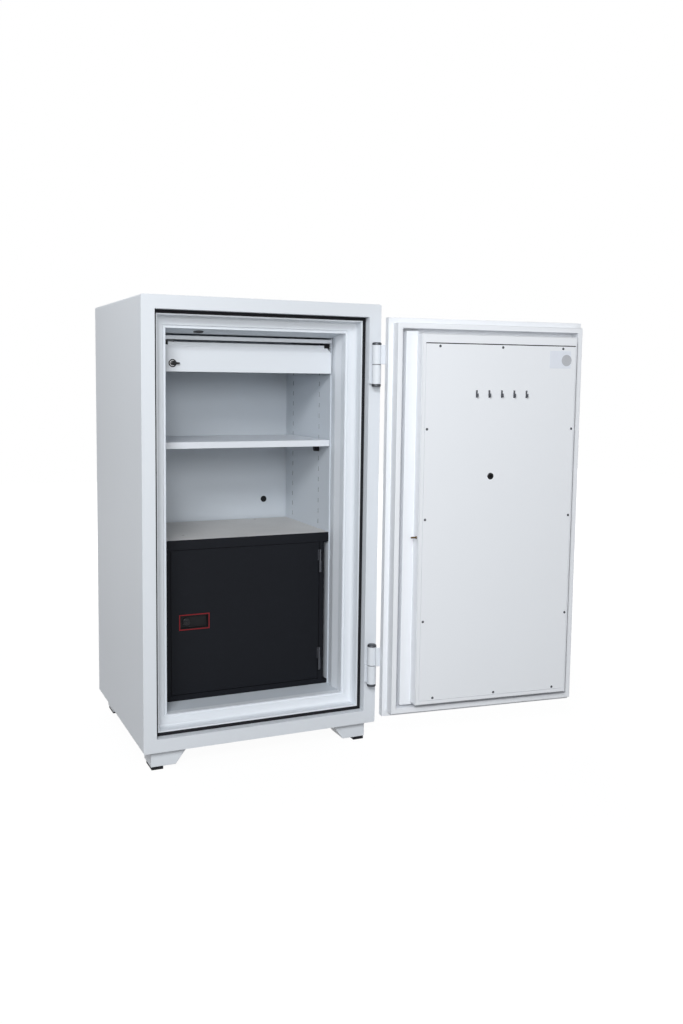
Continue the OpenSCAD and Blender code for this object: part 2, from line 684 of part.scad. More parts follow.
// Recessed cup with its outlined rim
module cabinet_handle_bezel() color("firebrick") on_body() difference() {
    union() {
        block(bezel_x, bezel_x + bezel_w, cab_front - 1, cab_front, bezel_z, bezel_z + bezel_h);
        block(bezel_x + bezel_t, bezel_x + bezel_w - bezel_t, cab_front - 1, cab_front + cup_d + 1.5,
            bezel_z + bezel_t, bezel_z + bezel_h - bezel_t);
    }
    block(bezel_x + bezel_t + 1, bezel_x + bezel_w - bezel_t - 1, cab_front - 2, cab_front + cup_d,
        bezel_z + bezel_t + 1, bezel_z + bezel_h - bezel_t - 1);
    rod_y(4 + run, cab_front, cab_front + 20, knob_x, knob_z);
}
module cabinet_knob() color(dark) on_body() {
    rod_y(knob_r, cab_front + 3, cab_front + cup_d - 0.5, knob_x, knob_z);
    block(knob_x - knob_r + 2, knob_x + knob_r - 2, cab_front + 0.5, cab_front + 4, knob_z - 2, knob_z + 2);
    rod_y(4, cab_front + cup_d - 1, cab_front + cab_door_t - cab_sheet - 1, knob_x, knob_z);
}
module cabinet_bolt() color(steel) on_body() difference() {
    block(cab_door_l + 1, knob_x + cab_bolt_throw + 10, cab_bolt_y, cab_bolt_y + 4,
          knob_z - cab_bolt_h / 2, knob_z + cab_bolt_h / 2);
    block(knob_x - 4.5, knob_x + 4.5 + cab_bolt_throw, cab_bolt_y - over, cab_bolt_y + 5,
          knob_z - 4.5, knob_z + 4.5);
}

// Door
module door_skin() color(white) on_door() difference() {
    block(slab_l, slab_r, 0, slab_t, slab_z0, slab_z1);
    block(slab_l + casing_t, slab_r - casing_t, casing_t, slab_t + over, slab_z0 + casing_t,
          slab_z1 - casing_t);
    rod_y(spindle_r + run, -over, casing_t + over, lock_x, handle_z);
    rod_y(key_body_r + run, -over, casing_t + over, lock_x, key_z);
    rod_y(dial_shaft_r + 1, -over, casing_t + over, lock_x, dial_z);
}

module rib_block(grow, d0, d1) {
    n0 = rib_inset + grow;
    n1 = rib_inset + rib_w - grow;
    ring(n0, n1, d0, d1);
}
module door_pan() color(white) on_door() {
    difference() {
        union() {
            block(slab_l + casing_t, slab_r - casing_t, slab_t - pan_t, slab_t, slab_z0 + casing_t,
                  slab_z1 - casing_t);
            rib_block(0, slab_t - pan_t, rib_d);
            block(plug_l, plug_r, slab_t - pan_t, plug_d, plug_z0, plug_z1);
            block(plug_r - over, step2_r, slab_t - pan_t, step2_d, step2_z0, step2_z1);
        }
        rib_block(pan_t, slab_t - pan_t - over, rib_d - pan_t);
        block(plug_l + pan_t, plug_r - pan_t, slab_t - pan_t - over, plug_d - pan_t,
              plug_z0 + pan_t, plug_z1 - pan_t);
        block(plug_r, step2_r - pan_t, slab_t - pan_t - over, step2_d - pan_t, step2_z0 + pan_t,
              step2_z1 - pan_t);
        block(panel_l - panel_gap, panel_r + panel_gap, plug_d - pan_t - over, plug_d + over,
            panel_z0 - panel_gap, panel_z1 + panel_gap);
        for (z = bolt_zs) rod_x(bolt_r + 0.3, rib_inset - over, plug_l + pan_t + over, bolt_y, z);
    }
    difference() {
        block(plug_l, plug_r, plug_d - 2 * pan_t, plug_d - pan_t, plug_z0, plug_z1);
        block(panel_l + ledge_w, panel_r - ledge_w, plug_d - 2 * pan_t - over, plug_d, panel_z0 + ledge_w,
            panel_z1 - ledge_w);
        at_screws() rod_y(shank_r + run, -over, pan_t + over, 0, 0);
    }
}
// Places its child at every cover screw, with the ledge's back face at y = 0
module at_screws() {
    y = plug_d - 2 * pan_t;
    for (x = screw_cols, z = [panel_z0 + screw_inset, panel_z1 - screw_inset])
        translate([x, y, z]) children();
    for (x = [panel_l + screw_inset, panel_r - screw_inset], z = screw_rows) translate([x, y, z]) children();
}
module door_insulation() color("lightgray") on_door() difference() {
    union() {
        block(slab_l + casing_t, slab_r - casing_t, casing_t, slab_t - pan_t, slab_z0 + casing_t,
              slab_z1 - casing_t);
        rib_block(pan_t, slab_t - pan_t - over, rib_d - pan_t);
        block(plug_l + pan_t, plug_r - pan_t, slab_t - pan_t - over, fill_d, plug_z0 + pan_t,
              plug_z1 - pan_t);
        block(plug_r, step2_r - pan_t, slab_t - pan_t - over, step2_d - pan_t, step2_z0 + pan_t,
              step2_z1 - pan_t);
    }
    for (z = bolt_zs) rod_x(bolt_r + 0.5, slab_l, plug_l + 20, bolt_y, z);
    rod_y(spindle_r + 1, 0, fill_d + over, lock_x, handle_z);
    rod_y(key_body_r + 1, 0, fill_d + over, lock_x, key_z);
    rod_y(dial_shaft_r + 1, 0, fill_d + over, lock_x, dial_z);
}
module cover_panel() color(white) on_door() difference() {
    block(panel_l, panel_r, plug_d - pan_t, plug_d, panel_z0, panel_z1);
    at_screws() rod_y(shank_r + run, 0, 3 * pan_t, 0, 0);
    rod_y(6 + run, plug_d - 4, plug_d + over, lock_x, access_z);
}
module cover_screws() color(steel) on_door() at_screws() {
    rod_y(shank_r, -5, 2 * pan_t + 0.5, 0, 0);
    difference() {
        rod_y(screw_r, 2 * pan_t, 2 * pan_t + 1.6, 0, 0);
        block(-0.5, 0.5, 2 * pan_t + 0.8, 2 * pan_t + 3, -2.4, 2.4);
        block(-2.4, 2.4, 2 * pan_t + 0.8, 2 * pan_t + 3, -0.5, 0.5);
    }
}
module key_hooks() color(steel) on_door()
    for (i = [-2 : 2]) translate([hook_x + i * hook_pitch, plug_d, hook_z]) {
    block(-3.5, 3.5, 0, 1, -10, 11);
    rod_y(1.5, 0.5, 9, 0, -7);
    rod_z(1.5, -7, 1, 0, 9);
    for (z = [-7, 1]) translate([0, 9, z]) sphere(1.5);
}
module access_plug() color(black) on_door() {
    rod_y(8, plug_d, plug_d + 1.5, lock_x, access_z);
    rod_y(6, case_y1, plug_d + 1, lock_x, access_z);
}
module guide_pin() color(brass) on_door() rod_x(2.5, plug_r, plug_r + 17, plug_d - 14, guide_pin_z);

module door_hinge_leaves() color(white) on_door() for (z = joints) difference() {
    union() {
        rod_z(knuckle_r, z + washer_t / 2, z + knuckle_len, hinge_x, hinge_y);
        block(slab_r - 44, hinge_x - 8, -leaf_t, 0, z + washer_t / 2, z + knuckle_len);
        block(hinge_x - knuckle_r, hinge_x - 5, hinge_y, -0.5, z + washer_t / 2, z + knuckle_len);
    }
    block(slab_r, hinge_x, -0.5, over, z, z + knuckle_len + over);
    rod_z(pin_r + run, z - over, z + knuckle_len + over, hinge_x, hinge_y);
}
module bolt_guides() color(steel) on_door() for (z = bolt_zs) difference() {
    rod_x(bolt_r + 3, plug_l + pan_t, plug_l + pan_t + guide_len, bolt_y, z);
    rod_x(bolt_r + run, plug_l, bar_x0, bolt_y, z);
}
module lock_case() color(steel) on_door() difference() {
    half = case_size / 2;
    block(lock_x - half, lock_x + half, fill_d, case_y1, dial_z - half, dial_z + half);
    block(lock_x - half + 3, lock_x + half - 3, case_y0 + 3, case_y1 - 3, dial_z - half + 3,
          dial_z + half - 3);
    rod_y(dial_shaft_r + run, fill_d - over, case_y0 + 4, lock_x, dial_z);
}
module key_lock_body() color(steel) on_door() difference() {
    union() {
        rod_y(key_body_r, 0, 44, lock_x, key_z);
        rod_y(key_body_r + 5, -5, 0, lock_x, key_z);
    }
    rod_y(key_plug_r + run, -6, 45, lock_x, key_z);
}
module key_plug() color(brass) on_door() translate([lock_x, 0, key_z]) difference() {
    union() {
        rod_y(key_plug_r, -5, 50, 0, 0);
        block(-7, 30, 45, 49, -7, 7);
    }
    block(-1, 1, -6, 12, -5, 5);
}
module handle_rose() color(steel) on_door() difference() {
    rod_y(30, -6, 0, lock_x, handle_z);
    rod_y(spindle_r + run, -7, over, lock_x, handle_z);
}
module dial_ring() color(steel) on_door() difference() {
    rod_y(dial_r + 8, -6, 0, lock_x, dial_z);
    rod_y(dial_r - 8, -7, -2, lock_x, dial_z);
    rod_y(dial_shaft_r + 1, -7, over, lock_x, dial_z);
}
module combination_dial() color(black) on_door() translate([lock_x, 0, dial_z]) {
    rod_y(dial_shaft_r, -20, 68, 0, 0);
    rod_y(dial_r, -12, -6.5, 0, 0);
    rod_y(dial_r - 14, -34, -12, 0, 0);
}
module wheel_pack() color(brass) on_door() for (y = [44, 51, 58]) difference() {
    rod_y(28, y, y + 4, lock_x, dial_z);
    rod_y(dial_shaft_r + 0.02, y - over, y + 5, lock_x, dial_z);
    block(lock_x - 3, lock_x + 3, y - over, y + 5, dial_z + 22, dial_z + 30);
}
// Lever turned down by the handle's turn: it lies level when the door is locked
module door_handle() color(steel) on_door() translate([lock_x, 0, handle_z]) {
    rod_y(spindle_r, -30, 47, 0, 0);
    rod_y(15, -46, -7, 0, 0);
    rotate([0, handle_turn, 0]) hull() {
        rod_y(11, -46, -32, 0, 0);
        rod_y(8, -44, -34, lever_len, 0);
    }
}
module handle_cam() color(steel) on_door() translate([lock_x, 0, handle_z]) {
    difference() {
        union() {
            rod_y(15, rod_y1 + 1, rod_y1 + 7, 0, 0);
            rotate([0, handle_turn / 2, 0]) block(-7, 7, rod_y1 + 1, rod_y1 + 7, 0, crank + 6);
        }
        rod_y(spindle_r + 0.02, rod_y1, rod_y1 + 8, 0, 0);
    }
    rod_y(crank_pin_r, rod_y0 - 1, rod_y1 + 2, crank_x, crank_z);
}
module bolt_bar() color(steel) on_door() {
    rod_low = handle_z + crank_z - 8;
    rod_high = handle_z + crank + 11;
    difference() {
        union() {
            block(bar_x0, bar_x1, rod_y0, bolt_y + 9, bolt_zs[0] - 20, bolt_zs[3] + 20);
            block(bar_x1 - over, lock_x + crank_x + 11, rod_y0, rod_y1, rod_low, rod_high);
        }
        for (z = bolt_zs) rod_x(tenon_r + 0.02, bar_x0 - over, bar_x1 + over, bolt_y, z);
        translate([lock_x + crank_x, 0, 0]) block(-crank_pin_r - 0.6, crank_pin_r + 0.6,
              rod_y0 - over, rod_y1 + over,
            handle_z + crank_z - crank_pin_r - 1, handle_z + crank + crank_pin_r + 1);
    }
}
module lock_bolts() color(steel) on_door() for (z = bolt_zs) {
    rod_x(bolt_r, rib_inset + 3, bar_x0, bolt_y, z);
    rod_x(tenon_r, bar_x0 - over, bar_x1 + 2, bolt_y, z);
}

outer_casing();
back_plate();
body_insulation();
jamb_frame();
heat_seal();
inner_liner();
right_rack_panel();
left_rack_panel();
ceiling_plug();
back_plug();
foot_brackets();
rubber_feet();
body_hinge_leaves();
hinge_pins();
hinge_end_caps();
hinge_washers();
strike_pockets();
adjustable_shelf();
shelf_clips();
drawer_housing();
drawer_runners();
cabinet_base();
cabinet_shell();
cabinet_front_frame();
cabinet_top();
cabinet_frame_knuckles();
cabinet_hinge_pins();
door_skin();
door_insulation();
door_pan();
cover_panel();
cover_screws();
key_hooks();
access_plug();
guide_pin();
door_hinge_leaves();
bolt_guides();
lock_case();
key_lock_body();
handle_rose();
dial_ring();
bolt_bar();
lock_bolts();
door_handle();
handle_cam();
combination_dial();
wheel_pack();
key_plug();
drawer_front();
drawer_box();
drawer_slides();
drawer_lock_barrel();
drawer_key();
drawer_lock_cam();
cabinet_door();
cabinet_door_lining();
cabinet_handle_bezel();
cabinet_door_knuckles();
cabinet_knob();
cabinet_bolt();
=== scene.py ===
"""Looks of the fireproof safe: modelled pieces, finishes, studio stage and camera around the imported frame."""

import math

import bpy
from bpy.props import FloatProperty, FloatVectorProperty, IntProperty, PointerProperty
from mathutils import Matrix, Vector


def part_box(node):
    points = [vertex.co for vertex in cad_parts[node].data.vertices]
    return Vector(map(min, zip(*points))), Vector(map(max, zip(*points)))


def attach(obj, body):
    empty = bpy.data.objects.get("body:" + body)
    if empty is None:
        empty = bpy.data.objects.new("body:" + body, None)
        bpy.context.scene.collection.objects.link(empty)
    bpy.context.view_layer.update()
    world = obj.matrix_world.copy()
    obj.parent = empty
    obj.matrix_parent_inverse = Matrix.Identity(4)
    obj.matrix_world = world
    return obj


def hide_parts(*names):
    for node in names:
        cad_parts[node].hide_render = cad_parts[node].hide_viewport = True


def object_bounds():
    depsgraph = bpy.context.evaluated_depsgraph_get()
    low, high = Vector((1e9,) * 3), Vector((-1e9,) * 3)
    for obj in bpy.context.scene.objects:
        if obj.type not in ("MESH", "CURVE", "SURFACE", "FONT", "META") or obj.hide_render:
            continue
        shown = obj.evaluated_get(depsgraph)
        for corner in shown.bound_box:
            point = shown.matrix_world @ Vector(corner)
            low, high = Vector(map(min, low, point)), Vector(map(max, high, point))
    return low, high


bl_info = {
    "name": "Fireproof safe",
    "version": (1, 0, 0),
    "blender": (4, 5, 0),
    "location": "View3D > Sidebar > Safe",
    "description": "Builds the painted sheet pieces, fittings, finishes and studio of a fireproof safe",
    "category": "Add Mesh",
}

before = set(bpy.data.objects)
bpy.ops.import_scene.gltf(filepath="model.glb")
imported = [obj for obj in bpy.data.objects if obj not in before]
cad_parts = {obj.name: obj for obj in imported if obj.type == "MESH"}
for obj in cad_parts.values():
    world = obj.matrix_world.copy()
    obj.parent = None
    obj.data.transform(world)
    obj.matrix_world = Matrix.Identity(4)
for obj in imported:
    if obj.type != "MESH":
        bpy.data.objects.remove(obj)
CAD_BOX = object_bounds()
CASING_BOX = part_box("outer_casing")
CORNER = Vector(CASING_BOX[0])

# Driving sizes in millimetres. Places count from the body's left front lower corner, as in the part's source,
# and the door's are those of the shut door.
BODY_W, BODY_D, BODY_H = [round((high - low) * 1000) for low, high in zip(*CASING_BOX)]
BODY_RECT = (0, BODY_W, 0, BODY_H)
MID_X, MID_Y, MID_Z = BODY_W / 2, BODY_D / 2, BODY_H / 2
WALL = 80
CEILING = BODY_H - WALL
BORDER = 36
SHEET = 1.2
LINER_FRONT, LINER_BACK = 86, 510
LINER_LEFT, LINER_RIGHT = WALL, BODY_W - WALL
RACK_LEFT, RACK_RIGHT = LINER_LEFT + 3, LINER_RIGHT - 3
RACK_Y = (240, 446)
SLOT_PITCH = 32
SOFFIT_FRONT, SOFFIT_DEPTH, SOFFIT_DROP = 88, 60, 10.5

HINGE_X, HINGE_Y = 657, -20
HINGE_Z = (1033, 176.7)
OPEN_ANGLE = math.radians(173.7)
BOLT_Y = 43
BOLT_Z = [MID_Z + rise for rise in (-348, -120, 120, 348)]
LOCK_X = 350
HANDLE_Z, KEY_Z, DIAL_Z, BUSH_Z = 500, 600, 700, 725.7
COVER_Y = 85

DRAWER_Y = 150
DRAWER_LOCK_X, DRAWER_LOCK_Z = 122, 1029.5
CUP_RECT = (141, 230, 282, 327)
WELD = 0.00001      # metres within which points become one


# Places and objects

def at(x, y, z):
    return CORNER + Vector((x, y, z)) / 1000


def deselect():
    if bpy.context.object and bpy.context.object.mode != "OBJECT":
        bpy.ops.object.mode_set(mode="OBJECT")
    bpy.ops.object.select_all(action="DESELECT")


def only(obj):
    deselect()
    obj.select_set(True)
    bpy.context.view_layer.objects.active = obj


def settle(obj):
    only(obj)
    bpy.ops.object.transform_apply(location=True, rotation=True, scale=True)
    return obj


def place(obj, name):
    obj.name = name
    obj.data.name = name
    return settle(obj)


# Modelling helpers

def block(name, x0, x1, y0, y1, z0, z1):
    """Cube between two corners, the start of a sheet or bar piece."""
    deselect()
    lo, hi = at(x0, y0, z0), at(x1, y1, z1)
    bpy.ops.mesh.primitive_cube_add(size=1, location=(lo + hi) / 2)
    bpy.context.object.scale = hi - lo
    return place(bpy.context.object, name)


def edit(obj, test, kind="FACE"):
    """Opens obj in edit mode with the faces selected that test(centre in mm, normal) names.

    With kind "EDGE" it is the edges that test(middle in mm, direction) names."""
    only(obj)
    mesh = obj.data
    for part in (mesh.vertices, mesh.edges, mesh.polygons):
        part.foreach_set("select", [False] * len(part))
    to_mm = lambda point: (point - CORNER) * 1000
    if kind == "FACE":
        bpy.context.tool_settings.mesh_select_mode = (False, False, True)
        for face in mesh.polygons:
            face.select = bool(test(to_mm(face.center), face.normal))
    else:
        bpy.context.tool_settings.mesh_select_mode = (False, True, False)
        for edge in mesh.edges:
            ends = [to_mm(mesh.vertices[i].co) for i in edge.vertices]
            edge.select = bool(test((ends[0] + ends[1]) / 2, (ends[1] - ends[0]).normalized()))
    bpy.ops.object.mode_set(mode="EDIT")


def facing(way):
    """Test for edit: faces that look along way, such as "-z"."""
    sign = -1 if way[0] == "-" else 1
    return lambda centre, normal: getattr(normal, way[-1]) * sign > 0.9


def done():
    bpy.ops.object.mode_set(mode="OBJECT")


def push(x=0, y=0, z=0):
    """Extrudes what is selected."""
    bpy.ops.mesh.extrude_region_move(TRANSFORM_OT_translate={"value": Vector((x, y, z)) / 1000})


def inset(side, depth=0):
    bpy.ops.mesh.inset(thickness=side / 1000, depth=depth / 1000, use_even_offset=True)


def remove(obj, test):
    edit(obj, test)
    bpy.ops.mesh.delete(type="FACE")
    done()


def shift(obj, test, kind="FACE", x=0, z=0):
    """Moves the named faces or edges."""
    edit(obj, test, kind)
    bpy.ops.transform.translate(value=Vector((x, 0, z)) / 1000)
    done()


def taper(obj, test, factors, centre):
    """Narrows a piece towards the named face, about centre."""
    edit(obj, test)
    bpy.ops.transform.resize(value=factors, center_override=at(*centre))
    done()


def open_below(obj, wall, depth):
    """Sinks the underside between walls, as folded sheet is open on one side."""
    edit(obj, facing("-z"))
    inset(wall)
    push(z=depth)
    done()


def round_edges(obj, test, radius, segments=4):
    edit(obj, test, "EDGE")
    bpy.ops.mesh.bevel(offset=radius / 1000, segments=segments, affect="EDGES", clamp_overlap=True)
    done()


def modifier(obj, kind, **settings):
    only(obj)
    mod = obj.modifiers.new(kind.title(), kind)
    for key, value in settings.items():
        setattr(mod, key, value)
    bpy.ops.object.modifier_apply(modifier=mod.name)
    return obj


def soften(obj, radius=0.8, segments=2, angle=35):
    """Rounds every crease of a piece, as a folded or moulded edge is round."""
    return modifier(obj, "BEVEL", width=radius / 1000, segments=segments, limit_method="ANGLE",
                    angle_limit=math.radians(angle), use_clamp_overlap=True)


def thicken(obj, sheet=SHEET):
    return modifier(obj, "SOLIDIFY", thickness=sheet / 1000, offset=-1)


def discard(obj):
    only(obj)
    bpy.ops.object.delete()


def cut(obj, *tools):
    for tool in tools:
        modifier(obj, "BOOLEAN", operation="DIFFERENCE", solver="EXACT", object=tool)
        discard(tool)
    return obj


def join(name, *objs):
    deselect()
    for obj in objs:
        obj.select_set(True)
    bpy.context.view_layer.objects.active = objs[0]
    bpy.ops.object.join()
    objs[0].name = objs[0].data.name = name
    return objs[0]


def duplicate(obj):
    only(obj)
    bpy.ops.object.duplicate()
    return bpy.context.object


def copy(obj, name, x, z):
    twin = duplicate(obj)
    twin.location = Vector((x, 0, z)) / 1000
    return place(twin, name)


def flip(obj, name, axis, middle):
    """Mirror image of a piece across a plane, with its faces turned out again."""
    twin = duplicate(obj)
    point = at(middle, middle, middle)
    twin.scale[axis] = -1
    twin.location[axis] = 2 * point[axis]
    place(twin, name)
    edit(twin, lambda c, n: True)
    bpy.ops.mesh.normals_make_consistent(inside=False)
    done()
    return twin


def pair(name, obj, axis=0, middle=MID_X):
    """A piece and its mirror image as one object."""
    return join(name, obj, flip(obj, "twin", axis, middle))


def turned(name, axis, centre, profile, steps=48):
    """Lathe-turned piece: profile lists (radius, place along axis), spun about the axis through centre."""
    along = Vector({"x": (1, 0, 0), "y": (0, 1, 0), "z": (0, 0, 1)}[axis])
    out = Vector({"x": (0, 0, 1), "y": (1, 0, 0), "z": (1, 0, 0)}[axis])
    origin = at(*centre)
    deselect()
    start = origin + (along * profile[0][1] + out * profile[0][0]) / 1000
    bpy.ops.mesh.primitive_plane_add(size=0.001, location=start)
    obj = settle(bpy.context.object)
    bpy.context.tool_settings.mesh_select_mode = (True, False, False)
    bpy.ops.object.mode_set(mode="EDIT")
    bpy.ops.mesh.select_all(action="SELECT")
    bpy.ops.mesh.merge(type="CENTER")
    for (r0, h0), (r1, h1) in zip(profile, profile[1:]):
        step = (along * (h1 - h0) + out * (r1 - r0)) / 1000
        bpy.ops.mesh.extrude_region_move(TRANSFORM_OT_translate={"value": step})
    bpy.ops.mesh.select_all(action="SELECT")
    bpy.ops.mesh.spin(steps=steps, angle=2 * math.pi, center=origin, axis=along)
    bpy.ops.mesh.select_all(action="SELECT")
    bpy.ops.mesh.remove_doubles(threshold=WELD)
    bpy.ops.mesh.dissolve_degenerate(threshold=WELD / 2)
    bpy.ops.mesh.select_all(action="SELECT")
    bpy.ops.mesh.normals_make_consistent(inside=False)
    done()
    obj.name = obj.data.name = name
    return obj


def rod(name, axis, centre, radius, start, end, edge=1.0, steps=40):
    """Turned rod with rounded rims."""
    k = edge * 0.3
    return turned(name, axis, centre, [
        (0, start), (radius - edge, start), (radius - k, start + k), (radius, start + edge),
        (radius, end - edge), (radius - k, end - k), (radius - edge, end), (0, end)], steps)


def arc(cx, cy, radius, first, last, count=5):
    """Points of an arc in a section, from angle first to last in degrees."""
    angles = [math.radians(first + (last - first) * i / count) for i in range(count + 1)]
    return [(cx + radius * math.cos(a), cy + radius * math.sin(a)) for a in angles]


def stepped(name, rect, path, way=-1, floor=False):
    """Stepped frame: a panel facing along y whose inside is inset and pushed along path.

    rect is (x0, x1, z0, z1) at inset 0, and path lists (inset, depth along y)."""
    x0, x1, z0, z1 = rect
    n0, y = path[0]
    n0 -= 0.02      # a hair wider, so that the first step has a width
    path = [(n0, y)] + list(path[1:])
    deselect()
    bpy.ops.mesh.primitive_plane_add(size=1, location=at((x0 + x1) / 2, y, (z0 + z1) / 2),
                                     rotation=(way * -math.pi / 2, 0, 0))
    bpy.context.object.scale = ((x1 - x0 - 2 * n0) / 1000, (z1 - z0 - 2 * n0) / 1000, 1)
    obj = place(bpy.context.object, name)
    edit(obj, lambda c, n: True)
    for (n0, d0), (n1, d1) in zip(path, path[1:]):
        if n1 - n0 > 0.001:
            inset(n1 - n0, (d1 - d0) * way)
        else:
            push(y=d1 - d0)
    if not floor:
        bpy.ops.mesh.delete(type="FACE")
    done()
    return obj


def rotate(obj, axis, angle, pivot):
    """Turns a piece about an axis through pivot, which is a point in metres."""
    obj.rotation_euler["XYZ".index(axis)] = angle
    obj.location = pivot - Matrix.Rotation(angle, 4, axis) @ pivot
    return settle(obj)


def swing(obj):
    """Turns a piece modelled for the shut door to where the door stands open."""
    axis = at(HINGE_X, HINGE_Y, 0)
    axis.z = 0
    return rotate(obj, "Z", OPEN_ANGLE, axis)


# Finishes

class Value:
    """A socket in a node tree whose arithmetic signs add Math nodes."""

    def __init__(self, tree, socket):
        self.tree, self.socket = tree, socket

    def _math(self, operation, *values):
        return self.tree.add("ShaderNodeMath", {"operation": operation}, *values)

    def __add__(self, other):
        return self._math("ADD", self, other)

    def __sub__(self, other):
        return self._math("SUBTRACT", self, other)

    def __rsub__(self, other):
        return self._math("SUBTRACT", other, self)

    def __mul__(self, other):
        return self._math("MULTIPLY", self, other)

    def above(self, edge, soft=0.02):
        return self.tree.add("ShaderNodeMapRange", {"interpolation_type": "SMOOTHSTEP"},
                             self, edge - soft, edge + soft, 0.0, 1.0)

    __radd__ = __add__
    __rmul__ = __mul__


class Tree:
    """Short calls that add and join the nodes of a material or of the world."""

    def __init__(self, owner):
        owner.use_nodes = True
        self.nodes, self.links = owner.node_tree.nodes, owner.node_tree.links

    def add(self, kind, settings, *values, out=0):
        node = self.nodes.new(kind)
        for key, value in settings.items():
            setattr(node, key, value)
        for slot, value in zip([s for s in node.inputs if s.enabled], values):
            self.join(slot, value)
        return Value(self, [s for s in node.outputs if s.enabled][out])

    def join(self, slot, value):
        if isinstance(value, Value):
            self.links.new(value.socket, slot)
        elif value is not None:
            slot.default_value = value

    def mix(self, share, first, second):
        node = self.nodes.new("ShaderNodeMix")
        node.data_type = "RGBA"
        for key, value in (("Factor", share), ("A", first), ("B", second)):
            self.join(node.inputs[key], value)
        return Value(self, node.outputs["Result"])

    def white_to_eye(self, shader, end, light, share, strength=1.0):
        """Lets rays that look at the backdrop see white in place of shader, which alone lights the object."""
        path = self.nodes.new("ShaderNodeLightPath").outputs
        seen = [Value(self, path["Is " + ray + " Ray"]) for ray in ("Camera", "Glossy", "Transmission")]
        white = self.nodes.new(light)
        white.inputs["Color"].default_value = (1, 1, 1, 1)
        white.inputs["Strength"].default_value = strength
        mixed = self.nodes.new("ShaderNodeMixShader")
        self.join(mixed.inputs[0], (seen[0] + seen[1] + seen[2]) * share)
        self.links.new(shader.outputs[0], mixed.inputs[1])
        self.links.new(white.outputs[0], mixed.inputs[2])
        self.links.new(mixed.outputs[0], self.nodes[end].inputs["Surface"])


class Finish(Tree):
    """A material with its Principled shader and Object coordinates."""

    def __init__(self, name):
        self.mat = bpy.data.materials.new(name)
        super().__init__(self.mat)
        self.shader = self.nodes["Principled BSDF"]
        self.coords = Value(self, self.nodes.new("ShaderNodeTexCoord").outputs["Object"])

    def set(self, **values):
        for key, value in values.items():
            self.join(self.shader.inputs[key.replace("_", " ")], value)

    def tone(self, share, colour, low, high):
        """Colour between two gains of one colour."""
        return self.mix(share, rgba(colour, low), rgba(colour, high))

    def stretch(self, factors):
        still = (0, 0, 0)
        return self.add("ShaderNodeMapping", {"vector_type": "POINT"}, self.coords, still, still, factors)

    def noise(self, scale, detail=2.0, rough=0.5, where=None):
        return self.add("ShaderNodeTexNoise", {}, where or self.coords, scale, detail, rough)

    def spots(self, scale):
        return self.add("ShaderNodeTexVoronoi", {}, self.coords, scale)

    def bump(self, height, strength=0.3, distance=0.0003):
        node = self.nodes.new("ShaderNodeBump")
        node.inputs["Strength"].default_value = strength
        node.inputs["Distance"].default_value = distance
        self.join(node.inputs["Height"], height)
        self.set(Normal=Value(self, node.outputs["Normal"]))


def rgba(colour, gain=1.0):
    return tuple(min(1.0, c * gain) for c in colour[:3]) + (1.0,)


def powder_paint(name, colour, rough=0.42, peel=0.25):
    """Sprayed and baked paint: fine orange peel, with slow changes of tone over a large panel."""
    f = Finish(name)
    slow = f.noise(1.7, 3)
    fine = f.noise(1400, 2)
    f.set(Base_Color=f.tone(slow, colour, 0.98, 1.02), Roughness=fine * 0.12 + (rough - 0.06),
          Specular_IOR_Level=0.28)
    f.bump(fine + f.noise(280, 1) * 0.8, peel, 0.00012)
    return f.mat


def textured_paint(name, colour):
    """Dark wrinkle paint of the inner cabinet: small hard grains with faint pale tips."""
    f = Finish(name)
    grain = f.spots(900)
    soft = f.noise(6, 3)
    tips = f.noise(1300, 2).above(0.62, 0.05)
    base = f.tone(soft, colour, 0.88, 1.12)
    f.set(Base_Color=f.mix(tips * 0.3, base, rgba(colour, 1.9)), Roughness=grain * 0.15 + 0.62,
          Specular_IOR_Level=0.14)
    f.bump(grain + f.noise(2200, 1) * 0.5, 0.5, 0.00015)
    return f.mat


def soft_rubber(name, colour):
    """Black rubber or foam, with a little dust on it."""
    f = Finish(name)
    dust = f.noise(60, 4).above(0.58, 0.15)
    f.set(Base_Color=f.tone(dust * 0.25, colour, 1.0, 2.4), Roughness=f.noise(300) * 0.15 + 0.68,
          Specular_IOR_Level=0.2)
    f.bump(f.noise(1500, 3), 0.35, 0.0002)
    return f.mat


def moulded_plastic(name, colour, rough=0.38):
    """Moulded plastic or smooth enamel with a fine even grain."""
    f = Finish(name)
    grain = f.noise(2600, 2)
    f.set(Base_Color=f.tone(f.noise(25, 2), colour, 0.85, 1.15),
          Roughness=grain * 0.14 + (rough - 0.07), Specular_IOR_Level=0.22)
    f.bump(grain, 0.3, 0.0001)
    return f.mat


def metal(name, colour, rough=0.32, drawn=(1, 1, 1)):
    """Bare or plated metal: drawn grain along one way, with duller patches."""
    f = Finish(name)
    lines = f.noise(900, 3, 0.6, f.stretch(drawn))
    patch = f.noise(14, 4, 0.6)
    f.set(Base_Color=f.tone(patch, colour, 0.9, 1.1), Metallic=1.0,
          Roughness=lines * 0.2 + patch * 0.12 + (rough - 0.16))
    f.bump(lines, 0.25, 0.00008)
    return f.mat


def cast_fill(name, colour):
    """Poured insulation: chalky, with pores and pale aggregate."""
    f = Finish(name)
    pores = f.spots(240)
    stone = f.noise(80, 5).above(0.55, 0.08)
    f.set(Base_Color=f.tone(stone * 0.5, colour, 0.85, 1.15), Roughness=stone * 0.1 + 0.85)
    f.bump(pores + f.noise(500, 4), 0.8, 0.0006)
    return f.mat


def foil(name, colour, rough=0.3):
    """Blank foil or paper plate with a faint fibre."""
    f = Finish(name)
    fibre = f.noise(700, 4)
    f.set(Base_Color=f.tone(fibre, colour, 0.94, 1.04), Roughness=fibre * 0.15 + rough)
    f.bump(fibre, 0.15, 0.00005)
    return f.mat


FINISHES = {}


